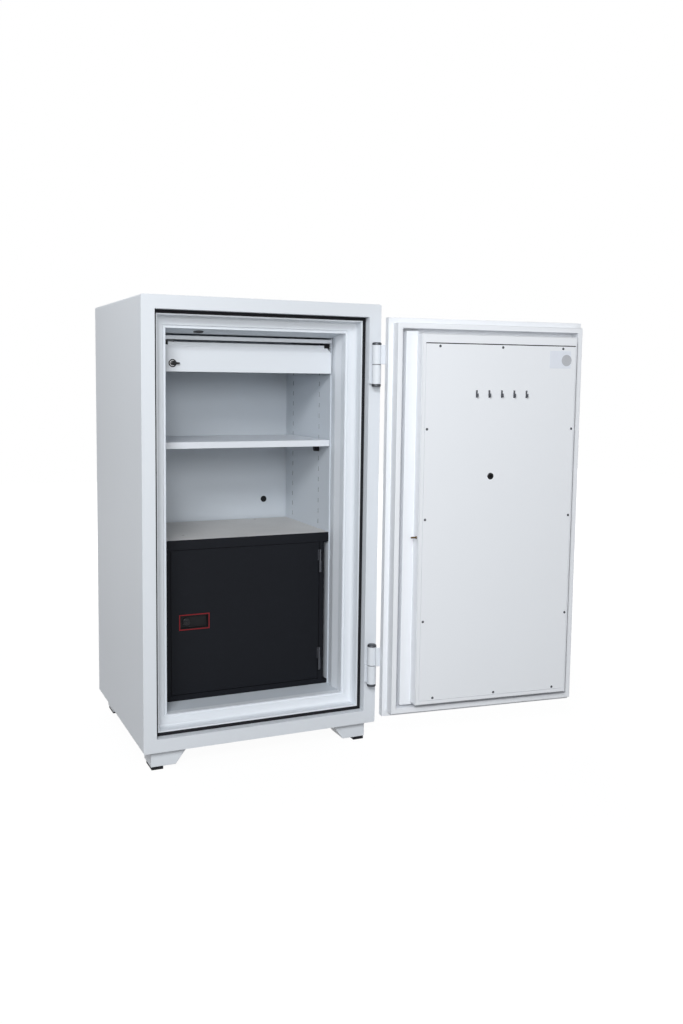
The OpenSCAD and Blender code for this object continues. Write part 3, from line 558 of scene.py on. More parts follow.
def make_finishes(colours):
    """Makes each finish once, under its own name."""
    for name, make, *values in (
            # Painted light and shade: the first four are one white paint in four tones, lighter on the door and
            # jamb and darker in the liner, after how much light each part gets.
            ("white_paint", powder_paint, colours.paint),
            ("door_paint", powder_paint, colours.door, 0.45),
            ("jamb_paint", powder_paint, colours.jamb, 0.36, 0.15),
            ("liner_paint", powder_paint, colours.liner, 0.5),
            ("charcoal_paint", textured_paint, colours.charcoal),
            # Painted light: this pale finish goes on the upward faces of the cabinet's black top plate.
            ("top_paint", textured_paint, colours.cabinet_top),
            ("red_rim", moulded_plastic, colours.rim, 0.45),
            ("fire_fill", cast_fill, (0.55, 0.53, 0.49)),
            ("seal_rubber", soft_rubber, (0.012, 0.012, 0.015)),
            ("pad_rubber", soft_rubber, (0.010, 0.010, 0.012)),
            ("black_plastic", moulded_plastic, (0.010, 0.010, 0.012)),
            ("cup_black", moulded_plastic, (0.004, 0.004, 0.005), 0.6),
            ("knob_black", moulded_plastic, (0.014, 0.014, 0.016), 0.3),
            ("tick_white", moulded_plastic, (0.75, 0.75, 0.73), 0.45),
            ("hinge_steel", metal, (0.09, 0.095, 0.105), 0.4),
            ("bare_steel", metal, (0.50, 0.50, 0.50), 0.36, (0.1, 0.1, 1)),
            ("bright_steel", metal, (0.56, 0.565, 0.58), 0.22, (1, 1, 0.08)),
            ("dark_chrome", metal, (0.10, 0.105, 0.12), 0.25),
            ("brass", metal, (0.62, 0.42, 0.14), 0.3),
            ("dull_brass", metal, (0.16, 0.11, 0.06), 0.4),
            ("blank_plate", foil, (0.80, 0.83, 0.90)),
            ("blank_seal", foil, (0.50, 0.51, 0.54), 0.25)):
        FINISHES[name] = make(name, *values)


def finish(obj, body, slot, *nodes, look=None, smooth=35):
    """Smooths, paints and hands over a piece: it rides on body and stands for nodes.

    The finish has the slot's name where no look is given."""
    only(obj)
    bpy.ops.object.shade_smooth_by_angle(angle=math.radians(smooth))
    modifier(obj, "WEIGHTED_NORMAL", keep_sharp=True)
    obj.data.materials.clear()
    obj.data.materials.append(FINISHES[look or slot])
    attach(obj, body)
    if nodes:
        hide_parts(*nodes)
    return obj


def on_door(obj, slot, *nodes, body="main_door", look=None):
    """Hands over a piece modelled for the shut door, swung to where the door stands open."""
    return finish(swing(obj), body, slot, *nodes, look=look)


# What a user may change

def watts(name, description, default):
    return FloatProperty(name=name, description=description, default=default, min=0.0, unit="POWER")


def colour(name, description, default):
    return FloatVectorProperty(name=name, description=description, subtype="COLOR", size=3, default=default,
                               min=0, max=1)


class SafeSizes(bpy.types.PropertyGroup):
    """Sizes of the dressed pieces, in millimetres of the real safe, and the strength of the lights"""

    fold_radius: FloatProperty(name="Fold radius", description="Radius of the folded sheet edges",
                               default=2.4, min=0.5, max=3.5)
    edge_radius: FloatProperty(name="Small edges", description="Radius of small pressed edges",
                               default=0.9, min=0.2, max=1.4)
    lathe_steps: IntProperty(name="Lathe steps", description="Faces round a turned piece",
                             default=48, min=16, max=96)
    key_light: watts("Key light", "Strength of the high front lamp, in watts", 128.0)
    near_light: watts("Near light", "Strength of the lamp that looks into the safe, in watts", 18.0)
    side_light: watts("Side light", "Strength of the lamp above the left side, in watts", 2.4)
    rear_light: watts("Rear light", "Strength of the lamp behind the safe, in watts", 65.0)
    ambient: FloatProperty(name="Ambient", description="Strength of the even light from all round",
                           default=0.10, min=0.0, max=2.0, subtype="FACTOR")
    front_sky: FloatProperty(name="Front sky", description="Strength of the light that comes from the front",
                             default=0.75, min=0.0, max=3.0, subtype="FACTOR")
    focal_length: FloatProperty(name="Focal length", description="Focal length on a 36 mm high picture",
                                default=34.674, min=10.0, subtype="DISTANCE_CAMERA")


class SafeColours(bpy.types.PropertyGroup):
    """Colours of the painted finishes"""

    # Painted light and shade: the body, door, jamb and liner colours are one white paint in four tones, lighter
    # on the door and jamb and darker in the liner, after how much light each part gets.
    paint: colour("Body paint", "Paint of the body's outside", (0.755, 0.782, 0.82))
    door: colour("Door paint", "Paint of the door", (0.88, 0.895, 0.925))
    jamb: colour("Jamb paint", "Paint of the stepped frame round the opening", (0.78, 0.81, 0.85))
    liner: colour("Liner paint", "Paint of the inside walls", (0.62, 0.662, 0.71))
    charcoal: colour("Cabinet paint", "Dark paint of the inner cabinet", (0.007, 0.008, 0.011))
    # Painted light: this colour goes only on the upward faces of the black cabinet top plate, where it shows
    # lit.
    cabinet_top: colour("Cabinet top", "Paint of the cabinet's top plate", (0.62, 0.61, 0.60))
    rim: colour("Red rim", "Outline of the cabinet's finger cup", (0.20, 0.010, 0.014))


class Piece:
    """What every operator here shares."""
    bl_options = {"REGISTER", "UNDO"}

    @property
    def sizes(self):
        return bpy.context.scene.safe_sizes

    def execute(self, context):
        self.build()
        return {"FINISHED"}


# Body

class SAFE_OT_casing(Piece, bpy.types.Operator):
    """Outer sheet with its folded front border, and the recessed back plate"""
    bl_idname = "safe.casing"
    bl_label = "Outer casing"

    def build(self):
        fold = self.sizes.fold_radius
        shell = block("casing", 0, BODY_W, 0, BODY_D, 0, BODY_H)
        remove(shell, facing("y"))
        edit(shell, facing("-y"))
        inset(BORDER)
        push(y=30.5)
        bpy.ops.mesh.delete(type="FACE")
        done()
        outside = lambda c: min(c.x, BODY_W - c.x, c.z, BODY_H - c.z) < 2
        inside = lambda c: min(c.x, BODY_W - c.x, c.z, BODY_H - c.z) > BORDER - 1
        round_edges(shell, lambda c, d: abs(d.y) > 0.9 and outside(c), 5, 6)
        round_edges(shell, lambda c, d: c.y < 0.5 and outside(c) and abs(d.y) < 0.1, fold, 4)
        round_edges(shell, lambda c, d: abs(c.y) < 0.1 and inside(c) and abs(d.y) < 0.1, 1.2, 3)
        finish(thicken(shell), "safe_body", "white_paint", "outer_casing", smooth=40)

        gap = 3.2
        back = block("rear_panel", gap, BODY_W - gap, BODY_D - 3, BODY_D - 0.4, gap, BODY_H - gap)
        edit(back, facing("y"))
        inset(14)
        inset(2.2, -1.2)
        inset(1.5)
        done()
        finish(soften(back, 0.5, 2), "safe_body", "white_paint", "back_plate")


class SAFE_OT_jamb(Piece, bpy.types.Operator):
    """Stepped steel frame round the opening, with its cove and round lip, and the heat seal"""
    bl_idname = "safe.jamb"
    bl_label = "Jamb and heat seal"

    def build(self):
        groove = [(44.9, 30.4), (45, 26.9), (45.3, 26.3), (46, 26), (48, 26), (48.7, 26.3), (49, 27),
                  (49, 51)]
        cove = [(63 + (n - 63) * 1.4, 64 + (d - 64) * 1.2) for n, d in arc(63, 54, 10, 180, 90, 7)]
        lip = [(71, 64), (71.7, 63.7)] + arc(76, 64, 4, 175, 5, 8) + [(WALL, 65), (WALL, LINER_FRONT)]
        jamb = thicken(stepped("jamb_steps", BODY_RECT, groove + cove + lip))
        for z in BOLT_Z:
            cut(jamb, rod("pocket_cut", "x", (0, BOLT_Y, z), 11, 30, 60, 0.2))
        # The jamb takes a lighter copy of the white paint, as painted light in the recess round the opening.
        finish(jamb, "safe_body", "white_paint", "jamb_frame", look="jamb_paint", smooth=40)

        seal = stepped("heat_seal_strip", BODY_RECT, [
            (36.2, 30), (36.2, 25.6), (36.6, 24.9), (37.4, 24.5), (39.4, 24.5), (39.9, 25.6), (41.1, 25.6),
            (41.6, 24.5), (43.6, 24.5), (44.4, 24.9), (44.8, 25.6), (44.8, 30)])
        finish(seal, "safe_body", "seal_rubber", "heat_seal")


class SAFE_OT_liner(Piece, bpy.types.Operator):
    """Inner liner with soft corners, sloped soffit, black strips behind the rack slots as painted shade, and
    the two black plugs
    """
    bl_idname = "safe.liner"
    bl_label = "Inner liner"

    def build(self):
        corner = 2
        path = [(WALL, LINER_FRONT)] + arc(WALL + corner, LINER_BACK - corner, corner, 180, 90, 3)
        liner = stepped("liner_walls", BODY_RECT, path, floor=True)
        # The liner takes a darker copy of the white paint, as painted shade inside the safe.
        finish(liner, "safe_body", "liner_paint", "inner_liner")

        gap, rear = 0.5, SOFFIT_FRONT + SOFFIT_DEPTH
        soffit = block("soffit", LINER_LEFT + gap, LINER_RIGHT - gap, SOFFIT_FRONT, rear,
                       CEILING, CEILING + gap)
        rear_edge = lambda c, d: c.z < CEILING + 0.2 and c.y > rear - 8 and abs(d.x) > 0.9
        shift(soffit, rear_edge, "EDGE", z=-SOFFIT_DROP)
        finish(soffit, "safe_body", "liner_paint")

        # Painted shade: thin black strips behind the rack slots, so that the slots show dark.
        slots = [block("slot", LINER_RIGHT - 2, LINER_RIGHT - 1.6, y - 2.4, y + 2.4, z - 6.8, z + 6.8)
                 for y in RACK_Y for z in range(113, 1080, SLOT_PITCH)]
        painted_slot_shade = pair("rack_slot_backs", join("slot_backs", *slots))
        finish(painted_slot_shade, "safe_body", "black_plastic")

        edge = LINER_RIGHT - 4.8
        fold = block("fold", edge, LINER_RIGHT, SOFFIT_FRONT, 155, WALL + gap, CEILING - gap)
        taper(fold, facing("-x"), (1, 0.06, 1), (edge, 122, MID_Z))
        round_edges(fold, lambda c, d: abs(d.z) > 0.9 and c.x < edge + 0.8, 2.5, 3)
        # The folds take the jamb's lighter copy of the white paint, as painted light on that strip of the liner
        # wall.
        finish(pair("liner_folds", fold), "safe_body", "liner_paint", look="jamb_paint")

        for name, axis, centre, r, node in (
                ("ceiling_grommet", "z", (185.7, 118, CEILING - SOFFIT_DROP / 2), 14, "ceiling_plug"),
                ("rear_grommet", "y", (521.5, LINER_BACK, 601), 10, "back_plug")):
            grommet = turned(name, axis, centre, [
                (0, 9), (r - 3.2, 9), (r - 3.2, 0.2), (r, 0), (r - 0.3, -1.2), (r - 1.6, -2), (r - 4, -1.8),
                (r - 5, -0.9), (0, -0.7)])
            if axis == "z":
                rotate(grommet, "X", -math.atan(SOFFIT_DROP / SOFFIT_DEPTH), at(*centre))
            finish(grommet, "safe_body", "black_plastic", node)


class SAFE_OT_feet(Piece, bpy.types.Operator):
    """Four folded foot brackets with their rubber pads"""
    bl_idname = "safe.feet"
    bl_label = "Feet"

    def build(self):
        left, wide, narrow, plate = 24, 102, 68, 4
        right, front, rear, foot_h = left + wide, 20, 95, 45
        down = facing("-z")
        face = block("foot_front", left, right, front, front + plate, -foot_h, 0)
        taper(face, down, (narrow / wide, 1, 1), (left, front + plate / 2, -foot_h))
        wall = block("foot_wall", left, left + plate, front + 0.2, rear, -foot_h, -0.2)
        slope = block("foot_slope", right - plate, right, front + 0.2, rear, -foot_h, -0.2)
        shift(slope, down, x=narrow - wide)
        sole = block("foot_sole", left + 0.2, left + narrow - 1, front + 0.2, rear, -foot_h, plate - foot_h)
        cap = block("foot_cap", left + 0.2, right - 2, front + 0.2, rear, -plate, -0.1)
        pad = block("pad", 26, 58, 21, 81, -54, -foot_h)
        edit(pad, down)
        inset(4)
        inset(1.5, -1.5)
        done()
        for part in (sole, pad):
            cut(part, rod("screw_hole", "z", (42, 60, 0), 5.5, -70, -30, 0.2))
        foot = join("foot", *[soften(part, 1.2, 3) for part in (face, wall, slope, sole, cap)])
        for name, piece, look, node in (
                ("foot_bracket_set", foot, "white_paint", "foot_brackets"),
                ("rubber_pad_set", soften(pad, 1.4, 3), "pad_rubber", "rubber_feet")):
            whole = pair(name, pair("front_pair", piece), 1, MID_Y)
            finish(whole, "safe_body", look, node)


class SAFE_OT_hinges(Piece, bpy.types.Operator):
    """The two main hinges: knuckles on leaves, pins with dark caps, and washers"""
    bl_idname = "safe.hinges"
    bl_label = "Main hinges"

    def build(self):
        steps = self.sizes.lathe_steps
        length, gap = 54, 0.8
        barrel = [(6.05, length), (11.8, length), (12.7, 53.6), (13, 52.8), (13, 2), (12.7, 1.1), (11.8, gap),
                  (6.05, gap), (6.05, length)]
        pin = [(0, -59.5), (6, -59.5), (6, 54.2), (12.2, 54.2), (13, 54.9), (13, 58.6), (12, 60.2),
               (10, 61.4), (4, 61.5), (0, 61.4)]
        cap = [(0, -60.1), (6.06, -60.1), (6.06, -54.1), (12.4, -54.1), (13, -54.8), (13, -59.6),
               (11.8, -61.2), (9, -62), (0, -62)]
        washer = [(6.1, -0.8), (12, -0.8), (12.2, 0), (12, 0.6), (6.1, 0.6), (6.1, -0.8)]
        sets = {"body": [], "door": [], "pin": [], "cap": [], "washer": []}
        for z in HINGE_Z:
            centre = (HINGE_X, HINGE_Y, z)
            for key, way, leaf_x, web_x, web_y in (
                    ("body", -1, (641, 675), (650.5, 663.5), (-15, -6.5)),
                    ("door", 1, (592, 648.8), (644.2, 651.8), (-19.5, -0.6))):
                leaf_z = sorted((z + way * gap, z + way * length))
                web_z = sorted((z + way * 1.2, z + way * 53.6))
                sets[key] += [turned("knuckle", "z", centre, [(r, way * h) for r, h in barrel], steps),
                              soften(block("leaf", *leaf_x, -7, -0.1, *leaf_z), 1.4, 3),
                              soften(block("web", *web_x, *web_y, *web_z), 0.6, 2)]
            for key, profile in (("pin", pin), ("cap", cap), ("washer", washer)):
                sets[key].append(turned(key, "z", centre, profile, steps))
        for key, name, body, look, node in (
                ("body", "hinge_body_side", "safe_body", "white_paint", "body_hinge_leaves"),
                ("door", "hinge_door_side", "main_door", "white_paint", "door_hinge_leaves"),
                ("pin", "hinge_pin_set", "safe_body", "hinge_steel", "hinge_pins"),
                ("cap", "hinge_cap_set", "safe_body", "hinge_steel", "hinge_end_caps"),
                ("washer", "hinge_washer_set", "safe_body", "hinge_steel", "hinge_washers")):
            piece = join(name, *sets[key])
            if key == "door":
                swing(piece)
            finish(piece, body, look, node)


# Inside

class SAFE_OT_shelf(Piece, bpy.types.Operator):
    """Adjustable shelf of folded sheet on its four black clips"""
    bl_idname = "safe.shelf"
    bl_label = "Shelf"

    def build(self):
        front, under, top = 156, 795, 813
        shelf = block("shelf_tray", 85, 595, front, 456, under, top)
        open_below(shelf, SHEET, top - under - SHEET)
        soften(shelf, 0.55, 2)
        round_edges(shelf, lambda c, d: abs(d.x) > 0.9 and c.z > top - 2 and c.y < front + 2, 0.5, 2)
        finish(shelf, "safe_body", "white_paint", "adjustable_shelf")

        clips = []
        wall = RACK_LEFT + 0.1
        for y in RACK_Y:
            arm = block("clip", wall, 101, y - 6, y + 6, under - 20, under)
            taper(arm, facing("-z"), (0.8, 1, 1), (wall, y, under - 20))
            tongue = block("tongue", 80.3, 84, y - 2.2, y + 2.2, 780.2, 789.8)
            clips += [soften(arm, 0.7, 2), soften(tongue, 0.4, 2)]
        clip_set = pair("clip_set", join("left_clips", *clips))
        finish(clip_set, "safe_body", "black_plastic", "shelf_clips")


class SAFE_OT_drawer(Piece, bpy.types.Operator):
    """Drawer front with its bevelled lip, lock and key, and the top plate it hangs from"""
    bl_idname = "safe.drawer"
    bl_label = "Drawer"

    def build(self):
        rear, plate_z = 480, 1094
        lock = (DRAWER_LOCK_X, 0, DRAWER_LOCK_Z)
        plate = block("plate", RACK_LEFT, RACK_RIGHT, DRAWER_Y, rear, plate_z, plate_z + 10.5)
        open_below(plate, 1.5, 9)
        hangers = [soften(block("hanger", x, x + 1.5, 162, rear, 1030, plate_z + 0.5), 0.4, 2)
                   for x in (RACK_LEFT, RACK_RIGHT - 1.5)]
        housing = join("drawer_top_plate", soften(plate, 0.6, 2), *hangers)
        finish(housing, "safe_body", "white_paint", "drawer_housing")
        catch = soften(block("lock_catch", 112, 132, 168.5, 170.5, 1054.5, 1103.4), 0.4, 2)
        finish(catch, "safe_body", "hinge_steel")
        guides = [soften(block("guide", x0, x1, 161.5, 186, 1079.8, 1093.2), 0.6, 2)
                  for x0, x1 in ((84.6, 111.8), (575, 595.4))]
        finish(join("drawer_guides", *guides), "safe_body", "black_plastic")

        face_l, face_r, low = 85, 595, 1007
        face = block("face", face_l, face_r, DRAWER_Y, DRAWER_Y + 3, low, 1064)
        edit(face, facing("z"))
        push(y=7, z=13)
        push(z=10.5)
        done()
        flap = block("flap", face_l + 0.2, face_r - 0.2, DRAWER_Y + 1, DRAWER_Y + 9, low + 0.1, low + 1.3)
        for way, end in ((-1, 112), (1, 575)):
            outer, slant = MID_X + way * 262, MID_X + way * 246
            cut(face, block("corner_cut", *sorted((end, outer)), 140, 175, 1079.5, plate_z + 1))
            slope = block("slope_cut", *sorted((slant, outer)), 140, 175, 1079.4, 1081)
            edit(slope, facing("-z"))
            push(x=way * 9, z=-15.5)
            done()
            cut(face, slope)
        cut(face, rod("lock_hole", "y", lock, 9.7, 140, 165, 0.2))
        front = join("drawer_face", soften(face, self.sizes.edge_radius, 3), flap)
        finish(front, "drawer", "white_paint", "drawer_front")

        barrel = turned("drawer_barrel", "y", lock, [
            (6.05, 170), (6.05, 148.9), (6.3, 148.6), (8.9, 148.6), (9.3, 149.2), (9.6, 149.8), (9.5, 170.8),
            (6.05, 170.8), (6.05, 170)])
        finish(barrel, "drawer", "bright_steel", "drawer_lock_barrel")
        collar = turned("drawer_lock_collar", "y", lock, [
            (8.1, 148.55), (8.2, 148.2), (8.8, 147.9), (10.4, 147.9), (11, 148.4), (11, 149.9)])
        finish(collar, "drawer", "bright_steel", look="black_plastic")

        key_y = (141.1, 144.9)
        plug = rod("plug", "y", lock, 6, 148, 171, 0.4)
        blade = soften(block("blade", 121, 123, 142, 148.4, 1026.6, 1032.4), 0.4, 2)
        bow = rod("bow", "y", (DRAWER_LOCK_X + 2, 0, DRAWER_LOCK_Z), 6.4, *key_y, 0.8)
        grip = block("grip", 126, 141, *key_y, DRAWER_LOCK_Z - 3.5, DRAWER_LOCK_Z + 3.5)
        taper(grip, facing("x"), (1, 0.8, 0.55), (141, 143, DRAWER_LOCK_Z))
        key = join("drawer_key_bow", plug, blade, bow, soften(grip, 1.2, 3))
        finish(key, "drawer_lock", "knob_black", "drawer_key")


class SAFE_OT_cabinet(Piece, bpy.types.Operator):
    """Dark inner cabinet: shell, top plate, door with its finger cup, and knob"""
    bl_idname = "safe.cabinet"
    bl_label = "Inner cabinet"

    def build(self):
        front, rear, base, roof, top_z = 160, 490, 92, 512, 540
        shell = block("cabinet_body", 96, 584, front, rear, base, roof)
        hollow = block("hollow", 97.5, 582.5, front + 1.5, rear - 1.5, base + 1.5, roof - 1.5)
        mouth = block("mouth", 117, 569, 150, 182, base + 4, roof - 0.8)
        cut(shell, hollow, mouth)
        finish(soften(shell, 0.6, 2), "safe_body", "charcoal_paint", "cabinet_shell",
               "cabinet_front_frame")

        top = block("cabinet_top_plate", RACK_LEFT, RACK_RIGHT, front - 2, 500, roof, top_z)
        open_below(top, 2, 26)
        for x, y in ((176, 241), (482, 481)):
            cut(top, rod("vent", "z", (x, y, 0), 3, roof - 12, top_z + 20, 0.2, 24))
        finish(soften(top, 0.8, 3), "safe_body", "charcoal_paint", "cabinet_top")
        # Painted light: the upward faces of the black top plate take a pale grey paint where light falls on
        # them.
        top.data.materials.append(FINISHES["top_paint"])
        for face in top.data.polygons:
            if face.normal.z > 0.6 and face.center.z > at(0, 0, top_z - 1).z:
                face.material_index = 1
        plinth = soften(block("cabinet_plinth", RACK_LEFT, RACK_RIGHT, front, rear, WALL, base), 0.8, 2)
        finish(plinth, "safe_body", "charcoal_paint", "cabinet_base")

        leaf = block("cabinet_leaf", 118.5, 567.5, front, front + 16.5, 97.5, 510.5)
        window = block("window", 145.2, 225.8, 150, 180, 286.2, 322.8)
        bolt_slot = block("bolt_slot", 110, 121.5, 170.8, 176.2, 298.3, 310.7)
        cut(leaf, window, bolt_slot)
        finish(soften(leaf, 1.1, 3), "cabinet_front", "charcoal_paint", "cabinet_door")

        rim = stepped("rim", CUP_RECT, [
            (0.02, 160.2), (0.04, 159.7), (0.4, 159.1), (0.9, 159), (2.3, 159), (2.9, 159.2), (3.2, 160.2)])
        finish(thicken(rim, 0.4), "cabinet_front", "red_rim")
        cup = stepped("finger_cup", CUP_RECT, [
            (3.1, 160.2), (3.2, 159.9), (4.5, 159.9), (5, 160.1), (5.4, 162)] + arc(8.4, 166, 2, 180, 90, 4),
            floor=True)
        finish(thicken(cup, 0.8), "cabinet_front", "black_plastic", "cabinet_handle_bezel", look="cup_black")

        knob = turned("lock_disc", "y", (164, 0, 304.5), [
            (0, 174), (4, 174), (4, 167.5), (11, 167.4), (11, 164), (10.4, 163.3), (9.4, 163), (8.8, 163.2),
            (8.6, 163.6), (0, 163.6)])
        tab = soften(block("tab", 155, 173, 160.6, 164, 302.6, 306.4), 0.6, 2)
        finish(join("knob_piece", knob, tab), "cabinet_turn_knob", "knob_black", "cabinet_knob")


# Door

class SAFE_OT_door(Piece, bpy.types.Operator):
    """Main door: folded outer skin, stepped inner pan and flat cover panel"""
    bl_idname = "safe.door"
    bl_label = "Door sheets"

    def build(self):
        left, right, low, high, pan_y = 39, 640, 38.5, 1161.5, 24
        skin = block("door_outer_skin", left, right, 0, pan_y, low, high)
        for z, r in ((HANDLE_Z, 8.1), (KEY_Z, 14.1), (DIAL_Z, 5)):
            cut(skin, rod("spindle_hole", "y", (LOCK_X, 0, z), r, -5, 8, 0.2, 32))
        outside = lambda c: min(c.x - left, right - c.x, c.z - low, high - c.z) < 0.5
        round_edges(skin, lambda c, d: c.y < 0.5 and abs(d.y) < 0.1 and outside(c), self.sizes.fold_radius, 4)
        round_edges(skin, lambda c, d: c.y > pan_y - 0.5 and abs(d.y) < 0.1, self.sizes.edge_radius, 3)
        on_door(skin, "white_paint", "door_skin", look="door_paint")

        rib = stepped("rib", BODY_RECT, [
            (45, 24.02), (53.2, 24.1), (53.8, 24.4), (54, 25), (54, 57), (54.9, 59.1), (57, 60), (66, 60),
            (68.1, 59.1), (69, 57), (69, 25), (69.3, 24.3), (70, 24.05), (74, 24.02)], way=1)
        for z in BOLT_Z:
            cut(rib, rod("bolt_hole", "x", (0, BOLT_Y, z), 10.3, 48, 60, 0.2))
        floor = block("floor", 70, 612, pan_y - 1.5, pan_y + 0.1, 70, 1130)
        step = soften(block("step", 560, 597, pan_y - 2, 50, 75, 1125), 2.2, 4)
        plug = block("plug", 86, 565, pan_y - 2, COVER_Y, 82, 1118)
        round_edges(plug, lambda c, d: c.y > COVER_Y - 0.5 or (abs(d.y) > 0.9 and c.y > 40), 2.6, 4)
        remove(plug, lambda c, n: n.y > 0.95 and c.y > COVER_Y - 0.1)
        cover = block("cover", 88, 563, COVER_Y - 2.4, COVER_Y, 84, 1116)
        sunk_y = COVER_Y - 2
        recess = block("recess", 90.2, 553.8, sunk_y, COVER_Y + 5, 93.2, 1093.8)
        bush_hole = lambda: rod("bush_cut", "y", (LOCK_X, 0, BUSH_Z), 6.1, 80, 90, 0.2, 32)
        cut(cover, recess, bush_hole())
        pan = join("door_inner_pan", rib, floor, step, plug, cover)
        on_door(pan, "white_paint", "door_pan", look="door_paint")
        # Painted shadow: a thin black strip in the gap above the cover panel, where the overhanging edge casts
        # shade.
        gap = soften(block("cover_top_gap", 90.3, 553.7, sunk_y - 0.1, sunk_y + 0.6, 1091.2, 1093.7), 0.15, 2)
        on_door(gap, "black_plastic")
        panel = block("door_cover_sheet", 91, 553, sunk_y, COVER_Y, 94, 1091)
        soften(cut(panel, bush_hole()), 0.5, 2)
        on_door(panel, "white_paint", "cover_panel", look="door_paint")


class SAFE_OT_door_fittings(Piece, bpy.types.Operator):
    """Cover screws, key hooks, the lock's black access bush, the brass pin and the bare plates"""
    bl_idname = "safe.door_fittings"
    bl_label = "Door fittings"

    def build(self):
        screw = turned("screw", "y", (0, 0, 0), [
            (0, 76), (1.5, 76), (1.9, 76.6), (1.9, 85.05), (3.4, 85.05), (3.6, 85.3), (3.4, 85.9),
            (2.6, 86.4), (1.4, 86.6), (0, 86.65)], 24)
        for half_x, half_z in ((0.5, 2.3), (2.3, 0.5)):
            cut(screw, block("cross", -half_x, half_x, 85.6, 88, -half_z, half_z))
        spots = [(x, z) for x in (132, 322, 512) for z in (100.5, 1084.5)]
        spots += [(x, z) for x in (97.5, 546.5) for z in (321, 608, 858)]
        screws = [copy(screw, "screw_copy", x, z) for x, z in spots]
        discard(screw)
        on_door(join("cover_screw_set", *screws), "bright_steel", "cover_screws", look="hinge_steel")

        hooks = []
        middle_x, pitch, hook_r = 322, 38.6, 1.5
        for i in range(-2, 3):
            x = middle_x + pitch * i
            plate = soften(block("hook_plate", x - 2.6, x + 2.6, 85.02, 86.1, 945, 966), 0.45, 2)
            stem = rod("stem", "y", (x, 0, 948), hook_r, 85.5, 94.6, 0.7, 16)
            tip = rod("tip", "z", (x, 94, 0), hook_r, 946.8, 957.2, 0.7, 16)
            hooks += [plate, stem, tip]
        on_door(join("hook_set", *hooks), "bright_steel", "key_hooks", look="dark_chrome")

        access = (LOCK_X, 0, BUSH_Z)
        bush = turned("access_bush", "y", access, [
            (0, 76.5), (5.9, 76.5), (5.9, 85.02), (8, 85.02), (7.9, 86), (7.2, 86.5), (5.2, 86.4),
            (4.8, 85.6), (4.8, 79), (0, 78.6)])
        on_door(bush, "black_plastic", "access_plug")
        ring = turned("bush_ring", "y", access, [
            (8.1, 84.9), (8.1, 85.3), (9.2, 85.3), (9.6, 85.1), (9.6, 84.9)])
        on_door(ring, "black_plastic")
        pin = turned("guide_pin_piece", "x", (0, 71, 557.5), [
            (0, 565.02), (4.2, 565.02), (4.2, 566.4), (3.6, 567), (2.5, 567), (2.5, 580), (1.8, 581.6),
            (0, 582)], 24)
        on_door(pin, "brass", "guide_pin", look="dull_brass")

        for name, x0, x1, z0, z1, r, look in (
                ("bare_plate", 106.5, 173.5, 1029, 1078.5, 2.0, "blank_plate"),
                ("bare_strip", 279, 325, 712, 739, 3.0, "door_paint")):
            plate = block(name, x0, x1, COVER_Y - 0.1, COVER_Y + 0.4, z0, z1)
            round_edges(plate, lambda c, d: abs(d.y) > 0.9, r, 4)
            soften(plate, 0.15, 2, 60)
            on_door(plate, "white_paint", look=look)
        seal = turned("bare_seal", "y", (119.9, 0, 1052.1), [
            (0, 85.3), (15.8, 85.3), (16, 85.5), (15.8, 85.8), (13.2, 85.85), (13, 85.7), (11.6, 85.7),
            (11.4, 85.85), (0, 85.85)])
        on_door(seal, "bare_steel", look="blank_seal")


